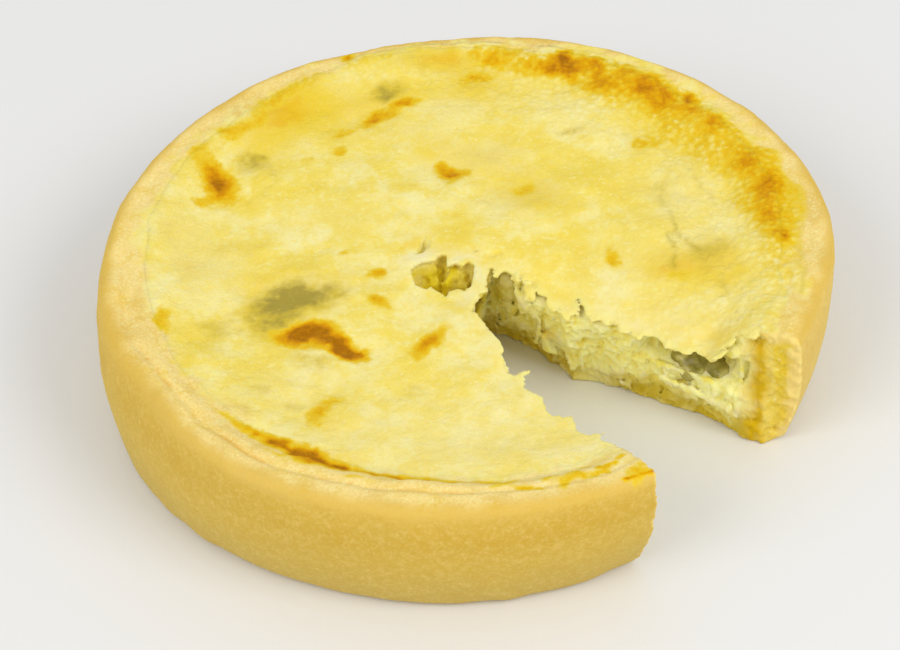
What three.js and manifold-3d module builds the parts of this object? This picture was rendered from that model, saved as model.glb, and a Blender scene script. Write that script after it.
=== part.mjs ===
// A small baked quiche with one narrow wedge taken out of it: a pastry case, the custard
// baked in it, and two pieces of soft green vegetable that show in the torn cut.
// Millimetres. +Z is up, the flat of the base is at Z = 0, the missing wedge opens towards
// +X and -Y. The origin is below the middle of the whole part, on the surface it stands on.

import * as THREE from 'three';
import { mergeVertices } from 'three/addons/utils/BufferGeometryUtils.js';
import Module from 'manifold-3d';

const solids = await Module();
solids.setup();

// ---- Driving dimensions ----

const RIM_HEIGHT = 24; // crest of the rim above the plate
const RIM_RADIUS = 60.1; // outer shoulder of the rim
const RIM_SHIFT = 0.8; // the rim lies this much further out towards +Y than at its sides
const FOOT_RADIUS = 55.6; // where the wall comes down to the plate
const FOOT_LEAN = 1.6; // the foot lies this much further out towards -X than at +Y
const WALL_BULGE = 1.6; // the wall is this much fuller at half height than a straight one
const FOOT_ROUNDING = 2.2;
const SHOULDER_HEIGHT = 3; // height over which the wall rolls over into the rim

const BASE_THICKNESS = 2.8;
const CUSTARD_RADIUS = 52.5; // edge of the custard at the top
const CUSTARD_SHIFT = 4.4; // its middle lies this far towards +Y, so the rim is widest at -Y
const CUSTARD_TAPER = 4.2; // the custard is this much smaller in radius at the base
const CUSTARD_LEVEL = 21.6; // level of its edge half way round
const CUSTARD_TILT = 0.7; // the edge is this much higher at +Y and lower at -Y
const CUSTARD_DISH = 0.7; // the middle lies this much below the edge
const SKIN_DROOP = 3.4; // how far the torn skin sags along the +X side of the cut
const CLEARANCE = 0.3; // gap between neighbouring solids

const AZIMUTH_STEPS = 84;
const CUT_STEPS = 46;

// Uneven places in the hand-pressed outline: where round it, how far out and how wide.
const RIM_SWELLS = [
  { azimuth: -24, out: -2.6, width: 16 },
  { azimuth: -151, out: -1.8, width: 11 },
  { azimuth: 101, out: -0.8, width: 13 },
  { azimuth: 178, out: -1, width: 24 },
];
const FOOT_SWELLS = [
  { azimuth: -160, out: 2.3, width: 30 },
  { azimuth: -62, out: -0.9, width: 18 },
  { azimuth: -12, out: 0.8, width: 16 },
];

// The rim's section from its outer shoulder (0) to the custard (1): how far below the crest.
const RIM_SECTION = [
  { across: 0.04, below: 1.1 },
  { across: 0.12, below: 0.3 },
  { across: 0.24, below: 0 },
  { across: 0.38, below: 0.2 },
  { across: 0.5, below: 0.75 }, // the groove between the two lips
  { across: 0.62, below: 0.4 },
  { across: 0.78, below: 0.8 },
];

// ---- The missing wedge, in plan ----

// Each side of the cut runs from its tip outwards, past the wall.
const CUT_REACH = 72; // the wedge is cut out to this radius
const LEFT_CUT = { tip: [0.8, -10.8], through: [[25.3, -52.9]] };
const RIGHT_CUT = { tip: [0.8, -9.4], through: [[4.2, 1.5], [48.5, -25.5]] };

// Heights at which the two faces of the cut have their own relief.
const CUT_LEVELS = [-2, 0.6, 2.8, 5, 7, 9, 11, 13, 14.8, 16.2, 17.6, 19, 21, 27];

// Flaps of torn skin that stand out from the left edge: distance from the tip, and size.
const LEFT_FLAPS = [
  { at: 17.9, reach: 3.4, width: 1.7 },
  { at: 24.9, reach: 1.9, width: 1.4 },
  { at: 30.5, reach: 1.8, width: 1.5 },
  { at: 36.4, reach: 2.7, width: 1.4 },
  { at: 41.5, reach: 1.6, width: 2 },
];
const LEFT_BITE = { at: 21.5, depth: 4.2, width: 11 }; // the left edge curves in by this much

// The right edge: a lip of skin overhangs the crumb, with a hollow below it near the wall.
const LIP = { reach: 4.4, thickness: 2.6, starts: 5, ends: 46, fade: 4 };
const LIP_NOTCHES = [
  { at: 9, depth: 1.1, width: 1 },
  { at: 17.6, depth: 1.9, width: 0.9 },
  { at: 33.2, depth: 1.2, width: 1.1 },
  { at: 39.6, depth: 1.6, width: 1 },
];
const HOLLOW = { at: 36.4, height: 12.2, depth: 6.2, halfLength: 8.6, halfHeight: 3.6 };
const BACK_FOOT = { depth: 3.2, length: 7 }; // the crumb steps back at the foot of the tip

// The torn hole beside the tip, and the way through below the strip of skin between them.
const HOLE = { centre: [-3.7, -2.5, 21], radii: [5.3, 3.9, 6.2], turn: -14 };
const TUNNEL = { centre: [1.9, -5.2, 14.2], radii: [4.2, 3.2, 3.4], turn: -20 };

// The vegetable pieces: where along the right face of the cut, how deep in, how high.
const LARGE_PIECE = { along: 37, inside: 1.6, height: 8.6, radii: [6.6, 3.2, 2.7], seed: 1.3 };
const SMALL_PIECE = { along: 3, inside: 0.6, height: 15.4, radii: [2, 1.9, 3.2], seed: 4.1 };

// ---- Small helpers ----

function blend(from, to, share) {
  return from + (to - from) * share;
}

function bump(distance, width) {
  return Math.exp(-((distance / width) ** 2));
}

function ease(value, start, end) {
  return THREE.MathUtils.smoothstep(value, start, end);
}

function azimuthAt(step) {
  return (2 * Math.PI * step) / AZIMUTH_STEPS;
}

// Uneven relief between about -1 and 1, with lumps roughly as long as size.
function lumps(x, y, size, seed) {
  const u = (2 * x) / size;
  const v = (2 * y) / size;
  const wide = Math.sin(u + 0.7 * v + seed) * Math.sin(1.1 * v - 0.4 * u + 2.3 * seed);
  const fine = Math.sin(2.3 * u - 0.9 * v + 1.7 * seed) * Math.sin(1.9 * v + 0.8 * u + seed);
  return 0.65 * wide + 0.35 * fine;
}

// ---- Forms shared by the case and the custard ----

function swelling(swells, azimuth) {
  let out = 0;
  for (const swell of swells) {
    const away = THREE.MathUtils.radToDeg(azimuth) - swell.azimuth;
    const turned = THREE.MathUtils.euclideanModulo(away + 180, 360) - 180;
    out += swell.out * bump(turned, swell.width);
  }
  return out;
}

function rimRadius(azimuth) {
  return RIM_RADIUS + RIM_SHIFT * Math.sin(azimuth) + swelling(RIM_SWELLS, azimuth);
}

function footRadius(azimuth) {
  return FOOT_RADIUS - FOOT_LEAN * Math.cos(azimuth) + swelling(FOOT_SWELLS, azimuth);
}

function crestHeight(azimuth) {
  return RIM_HEIGHT - 0.3 + 0.2 * Math.sin(3 * azimuth + 1) + 0.1 * Math.sin(7 * azimuth);
}

function outerPoint(azimuth, height) {
  const up = height / RIM_HEIGHT;
  const straight = blend(footRadius(azimuth), rimRadius(azimuth), up ** 0.8);
  const radius = straight + WALL_BULGE * Math.sin(Math.PI * up);
  return new THREE.Vector3(radius * Math.cos(azimuth), radius * Math.sin(azimuth), height);
}

function custardPoint(azimuth, radius, height) {
  const x = radius * Math.cos(azimuth);
  const y = radius * Math.sin(azimuth) + CUSTARD_SHIFT;
  return new THREE.Vector3(x, y, height);
}

// Level of the baked top, without the sag along the cut.
function openLevel(x, y) {
  const out = Math.hypot(x, y - CUSTARD_SHIFT) / CUSTARD_RADIUS;
  const edge = CUSTARD_LEVEL + (CUSTARD_TILT * y) / CUSTARD_RADIUS;
  const dish = CUSTARD_DISH * (1 - ease(out, 0.72, 1));
  return edge - dish + 0.35 * lumps(x, y, 17, 2);
}

function custardLevel(x, y) {
  const beside = besideCut(RIGHT_CUT, x, y);
  const behindLip = Math.max(0, LIP.reach - beside.out);
  const acrossGap = ease(beside.out, LIP.reach + 1, LIP.reach + 5); // the far side doesn't sag
  const sag = lipDroop(beside.along) * Math.exp(-((behindLip / 8) ** 1.5));
  return openLevel(x, y) - sag * (1 - acrossGap);
}

// How far the lip of torn skin hangs down at its edge, along the right side of the cut.
function lipDroop(along) {
  return SKIN_DROOP * ease(along, 2, 14) * (1 - ease(along, 38, 48));
}

// ---- Solids from rings of points ----

function meshFromTriangles(points, triangles) {
  const geometry = new THREE.BufferGeometry();
  geometry.setFromPoints(points);
  geometry.setIndex(triangles);
  return geometry;
}

// A closed skin over rings with equally many points, from a lower to an upper centre point.
function solidFromRings(lowerCentre, rings, upperCentre) {
  const points = [lowerCentre, ...rings.flat(), upperCentre];
  const triangles = [];
  const steps = rings[0].length;
  const last = points.length - 1;
  const indexOf = (ring, step) => 1 + ring * steps + (step % steps);
  for (let step = 0; step < steps; step += 1) {
    triangles.push(0, indexOf(0, step + 1), indexOf(0, step));
    triangles.push(indexOf(rings.length - 1, step), indexOf(rings.length - 1, step + 1), last);
    for (let ring = 0; ring < rings.length - 1; ring += 1) {
      const near = indexOf(ring, step);
      const nearNext = indexOf(ring, step + 1);
      const far = indexOf(ring + 1, step);
      const farNext = indexOf(ring + 1, step + 1);
      triangles.push(near, nearNext, farNext, near, farNext, far);
    }
  }
  return meshFromTriangles(points, triangles);
}

function ringOf(pointAt) {
  return Array.from({ length: AZIMUTH_STEPS }, (_, step) => pointAt(azimuthAt(step)));
}

function toManifold(geometry) {
  return new solids.Manifold(
    new solids.Mesh({
      numProp: 3,
      vertProperties: new Float32Array(geometry.attributes.position.array),
      triVerts: new Uint32Array(geometry.index.array),
    }),
  );
}

function toGeometry(manifold) {
  const mesh = manifold.getMesh();
  const geometry = new THREE.BufferGeometry();
  const positions = new Float32Array(mesh.numVert * 3);
  for (let vertex = 0; vertex < mesh.numVert; vertex += 1) {
    for (let axis = 0; axis < 3; axis += 1) {
      positions[3 * vertex + axis] = mesh.vertProperties[mesh.numProp * vertex + axis];
    }
  }
  geometry.setAttribute('position', new THREE.BufferAttribute(positions, 3));
  geometry.setIndex(new THREE.BufferAttribute(new Uint32Array(mesh.triVerts), 1));
  return geometry;
}

// ---- The pastry case, whole ----

function wholeCase() {
  const rings = [];
  const wallHeights = [FOOT_ROUNDING, 6, 10, 14, 18, RIM_HEIGHT - SHOULDER_HEIGHT];
  rings.push(ringOf((azimuth) => footPoint(azimuth, FOOT_ROUNDING, 0)));
  rings.push(ringOf((azimuth) => footPoint(azimuth, 0.3 * FOOT_ROUNDING, 0.3 * FOOT_ROUNDING)));
  for (const height of wallHeights) {
    rings.push(ringOf((azimuth) => outerPoint(azimuth, height)));
  }
  for (const station of RIM_SECTION) {
    rings.push(ringOf((azimuth) => rimPoint(azimuth, station.across, station.below)));
  }
  rings.push(ringOf((azimuth) => innerEdgePoint(azimuth)));
  const innerFoot = CUSTARD_RADIUS - CUSTARD_TAPER;
  rings.push(ringOf((azimuth) => custardPoint(azimuth, innerFoot, BASE_THICKNESS + 2)));
  rings.push(ringOf((azimuth) => custardPoint(azimuth, innerFoot - 2, BASE_THICKNESS)));
  const lower = new THREE.Vector3(0, 0, 0);
  const upper = new THREE.Vector3(0, CUSTARD_SHIFT, BASE_THICKNESS);
  return toManifold(solidFromRings(lower, rings, upper));
}

function footPoint(azimuth, inset, height) {
  const wall = outerPoint(azimuth, FOOT_ROUNDING);
  const radius = Math.hypot(wall.x, wall.y) - inset;
  return new THREE.Vector3(radius * Math.cos(azimuth), radius * Math.sin(azimuth), height);
}

function innerEdgePoint(azimuth) {
  const point = custardPoint(azimuth, CUSTARD_RADIUS, 0);
  return point.setZ(openLevel(point.x, point.y) + CLEARANCE);
}

function rimPoint(azimuth, across, below) {
  const outer = outerPoint(azimuth, RIM_HEIGHT - 1);
  const inner = innerEdgePoint(azimuth);
  const crest = crestHeight(azimuth);
  const point = outer.clone().lerp(inner, across);
  const width = outer.distanceTo(inner);
  const drop = below * Math.min(1, width / 8); // a narrow rim has shallow lips
  return point.setZ(blend(crest - drop, inner.z, ease(across, 0.6, 1.15)));
}

// ---- The custard, whole ----

function wholeCustard() {
  const rings = [];
  const bottom = BASE_THICKNESS + CLEARANCE;
  const innerFoot = CUSTARD_RADIUS - CUSTARD_TAPER - CLEARANCE;
  rings.push(ringOf((azimuth) => custardPoint(azimuth, innerFoot - 2, bottom)));
  rings.push(ringOf((azimuth) => custardPoint(azimuth, innerFoot, bottom + 2)));
  const ringRadii = [1, 0.975, 0.93, 0.87, 0.8, 0.72, 0.64, 0.56, 0.48, 0.4, 0.32, 0.24, 0.16, 0.08];
  for (const share of ringRadii) {
    rings.push(ringOf((azimuth) => topPoint(azimuth, share)));
  }
  const lower = new THREE.Vector3(0, CUSTARD_SHIFT, bottom);
  const upper = new THREE.Vector3(0, CUSTARD_SHIFT, custardLevel(0, CUSTARD_SHIFT));
  return toManifold(solidFromRings(lower, rings, upper));
}

function topPoint(azimuth, share) {
  const point = custardPoint(azimuth, (CUSTARD_RADIUS - CLEARANCE) * share, 0);
  return point.setZ(custardLevel(point.x, point.y));
}

// ---- The wedge that is missing ----

// The sides of the cut as corner points, with the last straight stretch run out to CUT_REACH.
function cutCorners(cut) {
  const corners = [cut.tip, ...cut.through].map(([x, y]) => new THREE.Vector2(x, y));
  const [before, end] = corners.slice(-2);
  const direction = end.clone().sub(before).normalize();
  const missing = CUT_REACH - end.length();
  return [...corners.slice(0, -1), end.clone().addScaledVector(direction, missing)];
}

// A point on a side of the cut: its distance along the last stretch, which is negative
// before it, its direction and the direction that faces the gap.
function cutPoint(cut, share, turnToGap) {
  const corners = cutCorners(cut);
  const lengths = corners.slice(1).map((corner, index) => corner.distanceTo(corners[index]));
  const total = lengths.reduce((sum, length) => sum + length, 0);
  const before = total - lengths.at(-1);
  let left = share * total;
  let stretch = 0;
  while (stretch < lengths.length - 1 && left > lengths[stretch]) {
    left -= lengths[stretch];
    stretch += 1;
  }
  const place = corners[stretch].clone().lerp(corners[stretch + 1], left / lengths[stretch]);
  const first = corners[1].clone().sub(corners[0]).normalize();
  const final = corners.at(-1).clone().sub(corners.at(-2)).normalize();
  const along = share * total - before;
  const direction = first.lerp(final, ease(along, -3, 3)).normalize();
  const facing = new THREE.Vector2(-direction.y, direction.x).multiplyScalar(turnToGap);
  return { place, along, facing };
}

// Where a point lies beside the last stretch of the right side of the cut: how far along it,
// and how far out into the gap.
function besideCut(cut, x, y) {
  const corners = cutCorners(cut);
  const direction = corners.at(-1).clone().sub(corners.at(-2)).normalize();
  const offset = new THREE.Vector2(x, y).sub(corners.at(-2));
  const out = offset.x * direction.y - offset.y * direction.x;
  return { along: offset.dot(direction), out };
}

function leftRelief(along, height) {
  const bite = -LEFT_BITE.depth * bump(along - LEFT_BITE.at, LEFT_BITE.width);
  const skin = ease(height, 15.5, 17.6);
  let flaps = 0;
  for (const flap of LEFT_FLAPS) {
    flaps += flap.reach * bump(along - flap.at, flap.width);
  }
  const pastry = ease(along, 42, 46);
  const crumb = 0.75 * lumps(along, height, 6, 0.6) * (1 - 0.6 * pastry);
  const setBack = -0.9 * (1 - skin) * (1 - pastry) * ease(height, 3, 6);
  return bite + skin * flaps * (1 - 0.3 * pastry) + crumb + setBack;
}

function rightRelief(along, height) {
  const pastry = ease(along, 43.5, 46.5);
  const span = ease(along, LIP.starts - LIP.fade, LIP.starts + LIP.fade);
  const lipSpan = span * (1 - ease(along, LIP.ends - LIP.fade, LIP.ends));
  let lip = LIP.reach;
  for (const notch of LIP_NOTCHES) {
    lip -= notch.depth * bump(along - notch.at, notch.width);
  }
  const underside = CUSTARD_LEVEL - CUSTARD_DISH - LIP.thickness - lipDroop(along);
  const overhang = lip * lipSpan * ease(height, underside - 1.2, underside + 0.6);
  const slope = 1.6 * lipSpan * ease(height, 3, 12) * (1 - ease(height, underside - 2, underside));
  const inHollow = ((along - HOLLOW.at) / HOLLOW.halfLength) ** 4;
  const hollowHeight = ((height - HOLLOW.height) / HOLLOW.halfHeight) ** 4;
  const hollow = -HOLLOW.depth * Math.exp(-inHollow - hollowHeight);
  const stepBack = bump(along, BACK_FOOT.length) * (1 - ease(height, 2, 12));
  const crumb = 0.75 * lumps(along, height, 6, 1.9) * (1 - 0.6 * pastry);
  const tipSkin = 1.5 * bump(along, 6) * ease(height, underside - 0.5, underside + 0.8);
  return overhang + slope + hollow - BACK_FOOT.depth * stepBack + crumb + tipSkin + 0.5 * pastry;
}

function sideColumns(cut, turnToGap, relief) {
  return Array.from({ length: CUT_STEPS + 1 }, (_, step) => {
    const { place, along, facing } = cutPoint(cut, step / CUT_STEPS, turnToGap);
    const opening = ease(step, 0, 4); // both sides are plain where they meet at the tip
    return CUT_LEVELS.map((height) => {
      const out = relief(along, height) * opening;
      return new THREE.Vector3(place.x + facing.x * out, place.y + facing.y * out, height);
    });
  });
}

function wedge() {
  const left = sideColumns(LEFT_CUT, 1, leftRelief);
  const right = sideColumns(RIGHT_CUT, -1, rightRelief);
  const levels = CUT_LEVELS.length;
  const points = [...left.flat(), ...right.flat()];
  const leftIndex = (step, level) => step * levels + level;
  const rightIndex = (step, level) => left.length * levels + leftIndex(step, level);
  const triangles = [];
  const quad = (a, b, c, d) => triangles.push(a, b, c, a, c, d);
  const top = levels - 1;
  for (let step = 0; step < CUT_STEPS; step += 1) {
    const next = step + 1;
    for (let level = 0; level < top; level += 1) {
      const up = level + 1;
      quad(leftIndex(step, level), leftIndex(next, level), leftIndex(next, up), leftIndex(step, up));
      quad(rightIndex(step, level), rightIndex(step, up), rightIndex(next, up), rightIndex(next, level));
    }
    quad(leftIndex(step, 0), rightIndex(step, 0), rightIndex(next, 0), leftIndex(next, 0));
    quad(leftIndex(step, top), leftIndex(next, top), rightIndex(next, top), rightIndex(step, top));
  }
  for (let level = 0; level < top; level += 1) {
    const up = level + 1;
    quad(leftIndex(0, level), leftIndex(0, up), rightIndex(0, up), rightIndex(0, level));
    quad(
      leftIndex(CUT_STEPS, level),
      rightIndex(CUT_STEPS, level),
      rightIndex(CUT_STEPS, up),
      leftIndex(CUT_STEPS, up),
    );
  }
  return toManifold(meshFromTriangles(points, triangles));
}

// ---- Rounded pieces: the vegetable, and the hollows torn beside the tip ----

function roundedBlob({ centre, radii, turn, seed = 0, roughness = 0.09, grow = 0 }) {
  const geometry = new THREE.SphereGeometry(1, 20, 13);
  geometry.deleteAttribute('normal');
  geometry.deleteAttribute('uv');
  const blob = mergeVertices(geometry);
  const positions = blob.attributes.position;
  const point = new THREE.Vector3();
  for (let index = 0; index < positions.count; index += 1) {
    point.fromBufferAttribute(positions, index);
    const swell = 1 + roughness * lumps(3 * point.x + point.z, 3 * point.y - point.z, 2, seed);
    const scaled = radii.map((radius) => radius * swell + grow);
    positions.setXYZ(index, point.x * scaled[0], point.y * scaled[1], point.z * scaled[2]);
  }
  blob.rotateZ(THREE.MathUtils.degToRad(turn));
  blob.translate(...centre);
  return toManifold(blob);
}

// A vegetable piece lies along the right side of the cut.
function vegetablePiece(piece, grow = 0) {
  const corners = cutCorners(RIGHT_CUT);
  const direction = corners.at(-1).clone().sub(corners.at(-2)).normalize();
  const inward = new THREE.Vector2(-direction.y, direction.x);
  const place = corners.at(-2).clone().addScaledVector(direction, piece.along);
  place.addScaledVector(inward, piece.inside);
  const turn = THREE.MathUtils.radToDeg(Math.atan2(direction.y, direction.x));
  const centre = [place.x, place.y, piece.height];
  return roundedBlob({ centre, radii: piece.radii, turn, seed: piece.seed, roughness: 0.16, grow });
}

// ---- Assembly ----

const gap = wedge();
const pastry = wholeCase().subtract(gap);
const custard = wholeCustard()
  .subtract(gap)
  .subtract(roundedBlob({ ...HOLE, seed: 2.2 }))
  .subtract(roundedBlob({ ...TUNNEL, seed: 0.4 }))
  .subtract(vegetablePiece(LARGE_PIECE, CLEARANCE))
  .subtract(vegetablePiece(SMALL_PIECE, CLEARANCE));

function foodMesh(name, manifold, color, roughness) {
  const material = new THREE.MeshStandardMaterial({ color, roughness, metalness: 0 });
  const mesh = new THREE.Mesh(toGeometry(manifold), material);
  mesh.name = name;
  return mesh;
}

const quiche = new THREE.Group();
quiche.add(foodMesh('pastry_case', pastry, 0xe6c57c, 0.75));
quiche.add(foodMesh('custard_filling', custard, 0xf2e27c, 0.5));
quiche.add(foodMesh('vegetable_large', vegetablePiece(LARGE_PIECE), 0x9a9a5e, 0.35));
quiche.add(foodMesh('vegetable_small', vegetablePiece(SMALL_PIECE), 0xc3bd74, 0.35));

// The part is centred over its own middle.
const extent = new THREE.Box3().setFromObject(quiche);
const middle = extent.getCenter(new THREE.Vector3());
quiche.position.set(-middle.x, -middle.y, -extent.min.z);

export default quiche;
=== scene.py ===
"""A small baked quiche with one wedge taken out of it: how it looks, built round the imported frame.

Each piece is worked out as a field on a grid, positive inside and in millimetres, from named sizes
that are nearly all the construction's. The surface where a field crosses zero becomes a mesh, and
each vertex then gets the shares (browned, green, torn, soaked ...) that its material blends by.
"""

import math

import bmesh
import bpy
import numpy as np
from mathutils import Matrix, Vector


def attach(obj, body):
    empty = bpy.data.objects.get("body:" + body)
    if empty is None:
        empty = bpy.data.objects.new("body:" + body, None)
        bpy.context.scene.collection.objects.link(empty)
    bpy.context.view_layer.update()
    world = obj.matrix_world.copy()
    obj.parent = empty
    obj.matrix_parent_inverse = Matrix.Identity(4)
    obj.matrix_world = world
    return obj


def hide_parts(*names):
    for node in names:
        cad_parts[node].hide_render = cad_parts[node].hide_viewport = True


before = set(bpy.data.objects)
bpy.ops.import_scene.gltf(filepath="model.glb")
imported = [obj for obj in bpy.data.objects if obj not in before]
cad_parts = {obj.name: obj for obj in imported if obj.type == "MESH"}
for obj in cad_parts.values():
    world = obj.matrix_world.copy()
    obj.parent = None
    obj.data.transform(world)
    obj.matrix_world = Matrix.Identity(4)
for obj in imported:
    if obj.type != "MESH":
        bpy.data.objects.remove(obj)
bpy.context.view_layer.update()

MM = 0.001
CENTRING = np.array((0.297, -0.487, 0.0))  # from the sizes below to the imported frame

# ---- Driving dimensions, in millimetres and degrees, nearly all as in the construction ----

RIM_HEIGHT = 24.0
RIM_RADIUS = 60.1
RIM_SHIFT = 0.8
FOOT_RADIUS = 55.6
FOOT_LEAN = 1.6
WALL_BULGE = 1.6
BASE_THICKNESS = 2.8
CUSTARD_RADIUS = 52.5
CUSTARD_SHIFT = 4.4
CUSTARD_TAPER = 4.2
CUSTARD_LEVEL = 21.6
CUSTARD_TILT = 0.7
CUSTARD_DISH = 0.7
SKIN_THICKNESS = 1.6
SKIN_DROOP = 3.4
EDGE_CLIMB = 1.45  # how far the custard rises where it meets the rim, less at the front

# Uneven places in the hand-pressed outline: azimuth, how far out, how wide.
RIM_SWELLS = ((-24, -2.6, 16), (-151, -1.8, 11), (101, -0.8, 13), (178, -1.0, 24))
FOOT_SWELLS = ((-160, 2.3, 30), (-62, -0.9, 18), (-12, 0.8, 16))
CUSTARD_SWELLS = ((-118, 1.6, 24), (-80, 2.6, 17), (60, 0.6, 30))

# The rim in section, from its outer edge inwards.
OUTER_ROUNDING = 1.7
FOOT_ROUNDING = 1.7
GROOVE_PLACE = 0.47  # share of the rim's width
GROOVE_DEPTH = 0.6
GROOVE_HALF_WIDTH = 0.6
GROOVE_CLEAREST = -130.0  # azimuth
GROOVE_SPREAD = 62.0  # how far round it grows fainter
GROOVE_LEAST = 0.12  # what is left of it on the far side

# The sides of the cut.
LEFT_TIP = (0.8, -10.8)
LEFT_END = (25.3, -52.9)
RIGHT_TIP = (0.8, -9.4)
RIGHT_BEND = (4.2, 1.5)
RIGHT_END = (48.5, -25.5)
LEFT_BITE = (21.5, 4.2, 11.0)  # along, depth, width
LIP_REACH = 4.2
CRUMB_LEANS = 3.0  # how far the crumb of the right side stands out under the skin
# How far the foot of the right side stands out: along, out.
FOOT_OF_RIGHT = (
    (-1, -3.4), (2, -3.2), (7, -2.5), (9.5, -1.2), (13, -0.5), (15.3, 1.2), (19.6, -0.6), (25, -0.1),
    (30, -0.4), (35, -0.5), (41, 0.4), (46, 1), (49.3, 0.6), (51, -1.2), (60, -1.2),
)
HOLLOW_ALONG = 37.0  # the hollow under the skin, where the large vegetable piece lies
HOLLOW_HEIGHT = 13.7
HOLLOW_HALF_LENGTH = 8.6
HOLLOW_HALF_HEIGHT = 3.0
HOLLOW_DEPTH = 6.2
HOLE_CENTRE = (-3.7, -2.5)  # the torn hole beside the tip
HOLE_DEEP = 6.8
TUNNEL_CENTRE = (1.9, -5.2, 13.6)  # the hollow that joins the hole to the cut
TUNNEL_RADII = (4.2, 3.2, 3.6)
TUNNEL_TURN = -20.0
TIP_VOID_CENTRE = (1.5, -7.4, 15.4)  # the opening into that hollow at the tip
TIP_VOID_RADII = (1.7, 2.6, 3.4)
DARK_CENTRE = (1.5, -3.8, 14.0)  # the middle of the painted shade in that hollow
DARK_RADII = (2.0, 3.4, 3.2)
CAVITY_SHARE = 0.72  # the custard leaves room for so much of each vegetable piece
# A pocket in the right side near the rim: along, how deep in, height, radii.
SIDE_POCKET = (42.6, 0.5, 15.7, (1.5, 2.8, 2.2))
PITS_CENTRE = (-8.6, 5.0)  # between the two pits beyond the hole
PIT_TURN = -10.0
# Small pits in the crumb and beyond the hole: x, y, half length, half width, depth.
PITS = (
    (-7.4, 5.3, 1.9, 2.1, 1.8), (-10.2, 4.6, 1.7, 0.8, 1.4), (4.9, 1.9, 1.1, 0.6, 0.8),
    (12.6, -6, 1.1, 0.9, 1.3),
)

# The torn edge of the skin round the missing wedge: out along the left side and back along the right.
SKIN_GAP = (
    (0.2, -12.2), (1, -12.3), (1.9, -13.9), (2.7, -15.9), (4, -18.2), (4.5, -19.9), (4.8, -23),
    (5.2, -26.5), (6.6, -26.1), (8.9, -25.4), (8.1, -27.7), (7.5, -29.4), (8.5, -30.9), (9.9, -32.4),
    (10.8, -33.3), (10.6, -35.5), (11.6, -36.9), (14.1, -37), (14.8, -38.6), (14.8, -40.2), (15.5, -41.5),
    (16.7, -42.2), (17.5, -41.8), (18.9, -41.8), (18.2, -43.1), (18.3, -43.9), (19.7, -44.7), (21.5, -45.4),
    (22, -46.4), (22.4, -48.4), (22.2, -49.6), (23, -50.3), (24.8, -51.8), (25.4, -52.9), (40, -80),
    (80, -50), (49.6, -27), (48, -25.8), (45.7, -24.7), (43.2, -24.1), (41.4, -22.2), (41.2, -23.1),
    (40.1, -23.4), (39.4, -23.5), (39.5, -23.8), (40, -25), (39.9, -25.6), (39.3, -25.5), (38.6, -25.9),
    (38, -25.3), (37.4, -25.2), (36.8, -23.8), (36.3, -22.6), (35.7, -22.4), (35.1, -21.1), (34.5, -21.5),
    (33.9, -22.4), (32.8, -21.6), (31.6, -20.9), (30.6, -19.4), (29.8, -18.2), (29.3, -17.2), (28.4, -17.1),
    (27.5, -16.6), (26.9, -17.4), (26.3, -17.3), (25, -16.1), (24.2, -15.4), (23.4, -13.9), (22.7, -12.8),
    (21.9, -13.2), (21, -12.1), (20.4, -12.4), (19.3, -11.4), (18.5, -10.1), (18.3, -8.6), (17.7, -7.8),
    (17.9, -9.3), (17.7, -10.5), (16.5, -10.4), (15.8, -11.3), (14.9, -10.8), (14.2, -9.3), (13.6, -8.7),
    (12.9, -8), (12.5, -6.2), (11.3, -5.7), (10, -5.4), (9.3, -4.6), (8.8, -4.3), (7.7, -3.9), (7.3, -2.9),
    (6.8, -2.8), (6.4, -2), (5.5, -2.7), (4.7, -3.3), (4.2, -1), (3.7, -1.5), (3.2, -3.9), (3, -6.6),
    (1.7, -8.1), (1.1, -9.3),
)
# Strands, flaps and flakes on the right side of the cut: points (along, out, height), half widths.
STRANDS = (
    (((6.1, 2.4, 20.6), (6.4, 2.8, 17.8), (7, 2.9, 15.2)), (0.6, 0.5, 0.3)),
    (((2.6, 0.6, 13.4), (3, -0.2, 10.6), (3.1, -1, 6.8)), (0.9, 1.1, 0.3)),
    (((8.2, 2.8, 19.6), (8, 3.3, 16.8), (7.2, 2.5, 13.2)), (0.8, 1.2, 0.4)),
    (((10.4, 1.7, 8.2), (11.1, 1.5, 6.3), (12.7, 1.2, 4.7)), (0.5, 0.8, 0.35)),
    (((10.2, 2.6, 12.4), (9.4, 1.8, 9), (8.2, 0.4, 5.2)), (0.4, 0.5, 0.3)),
    (((30.3, 1.9, 14), (30.3, 1.6, 11.6), (30.6, 1.2, 9.4)), (0.5, 0.45, 0.4)),
    (((32.8, 2.3, 15.4), (33.3, 2, 13.4), (33.7, 1.5, 11.6)), (0.5, 0.42, 0.35)),
    (((29, 0.8, 9.6), (32.4, 1, 10.2), (35.6, 1, 9.8)), (0.5, 0.8, 0.5)),
    (((36.2, 0.9, 10), (39.4, 1.1, 9.8), (42, 1.2, 8.6)), (0.5, 0.8, 0.5)),
    (((31.6, 1.4, 7.6), (36.4, 1.5, 7), (41, 1.4, 6)), (0.4, 0.7, 0.5)),
    (((40.4, 1.2, 6.2), (43.2, 1.4, 5.6), (45.6, 1.3, 4.8), (47.4, 1.2, 4.2)), (0.9, 1.2, 0.9, 0.3)),
    (((45, 0.3, 20.4), (44.9, 0.4, 16.4), (44.8, 0.4, 12.2), (44.8, 0.3, 8.4)), (0.5, 0.5, 0.5, 0.4)),
)
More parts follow.
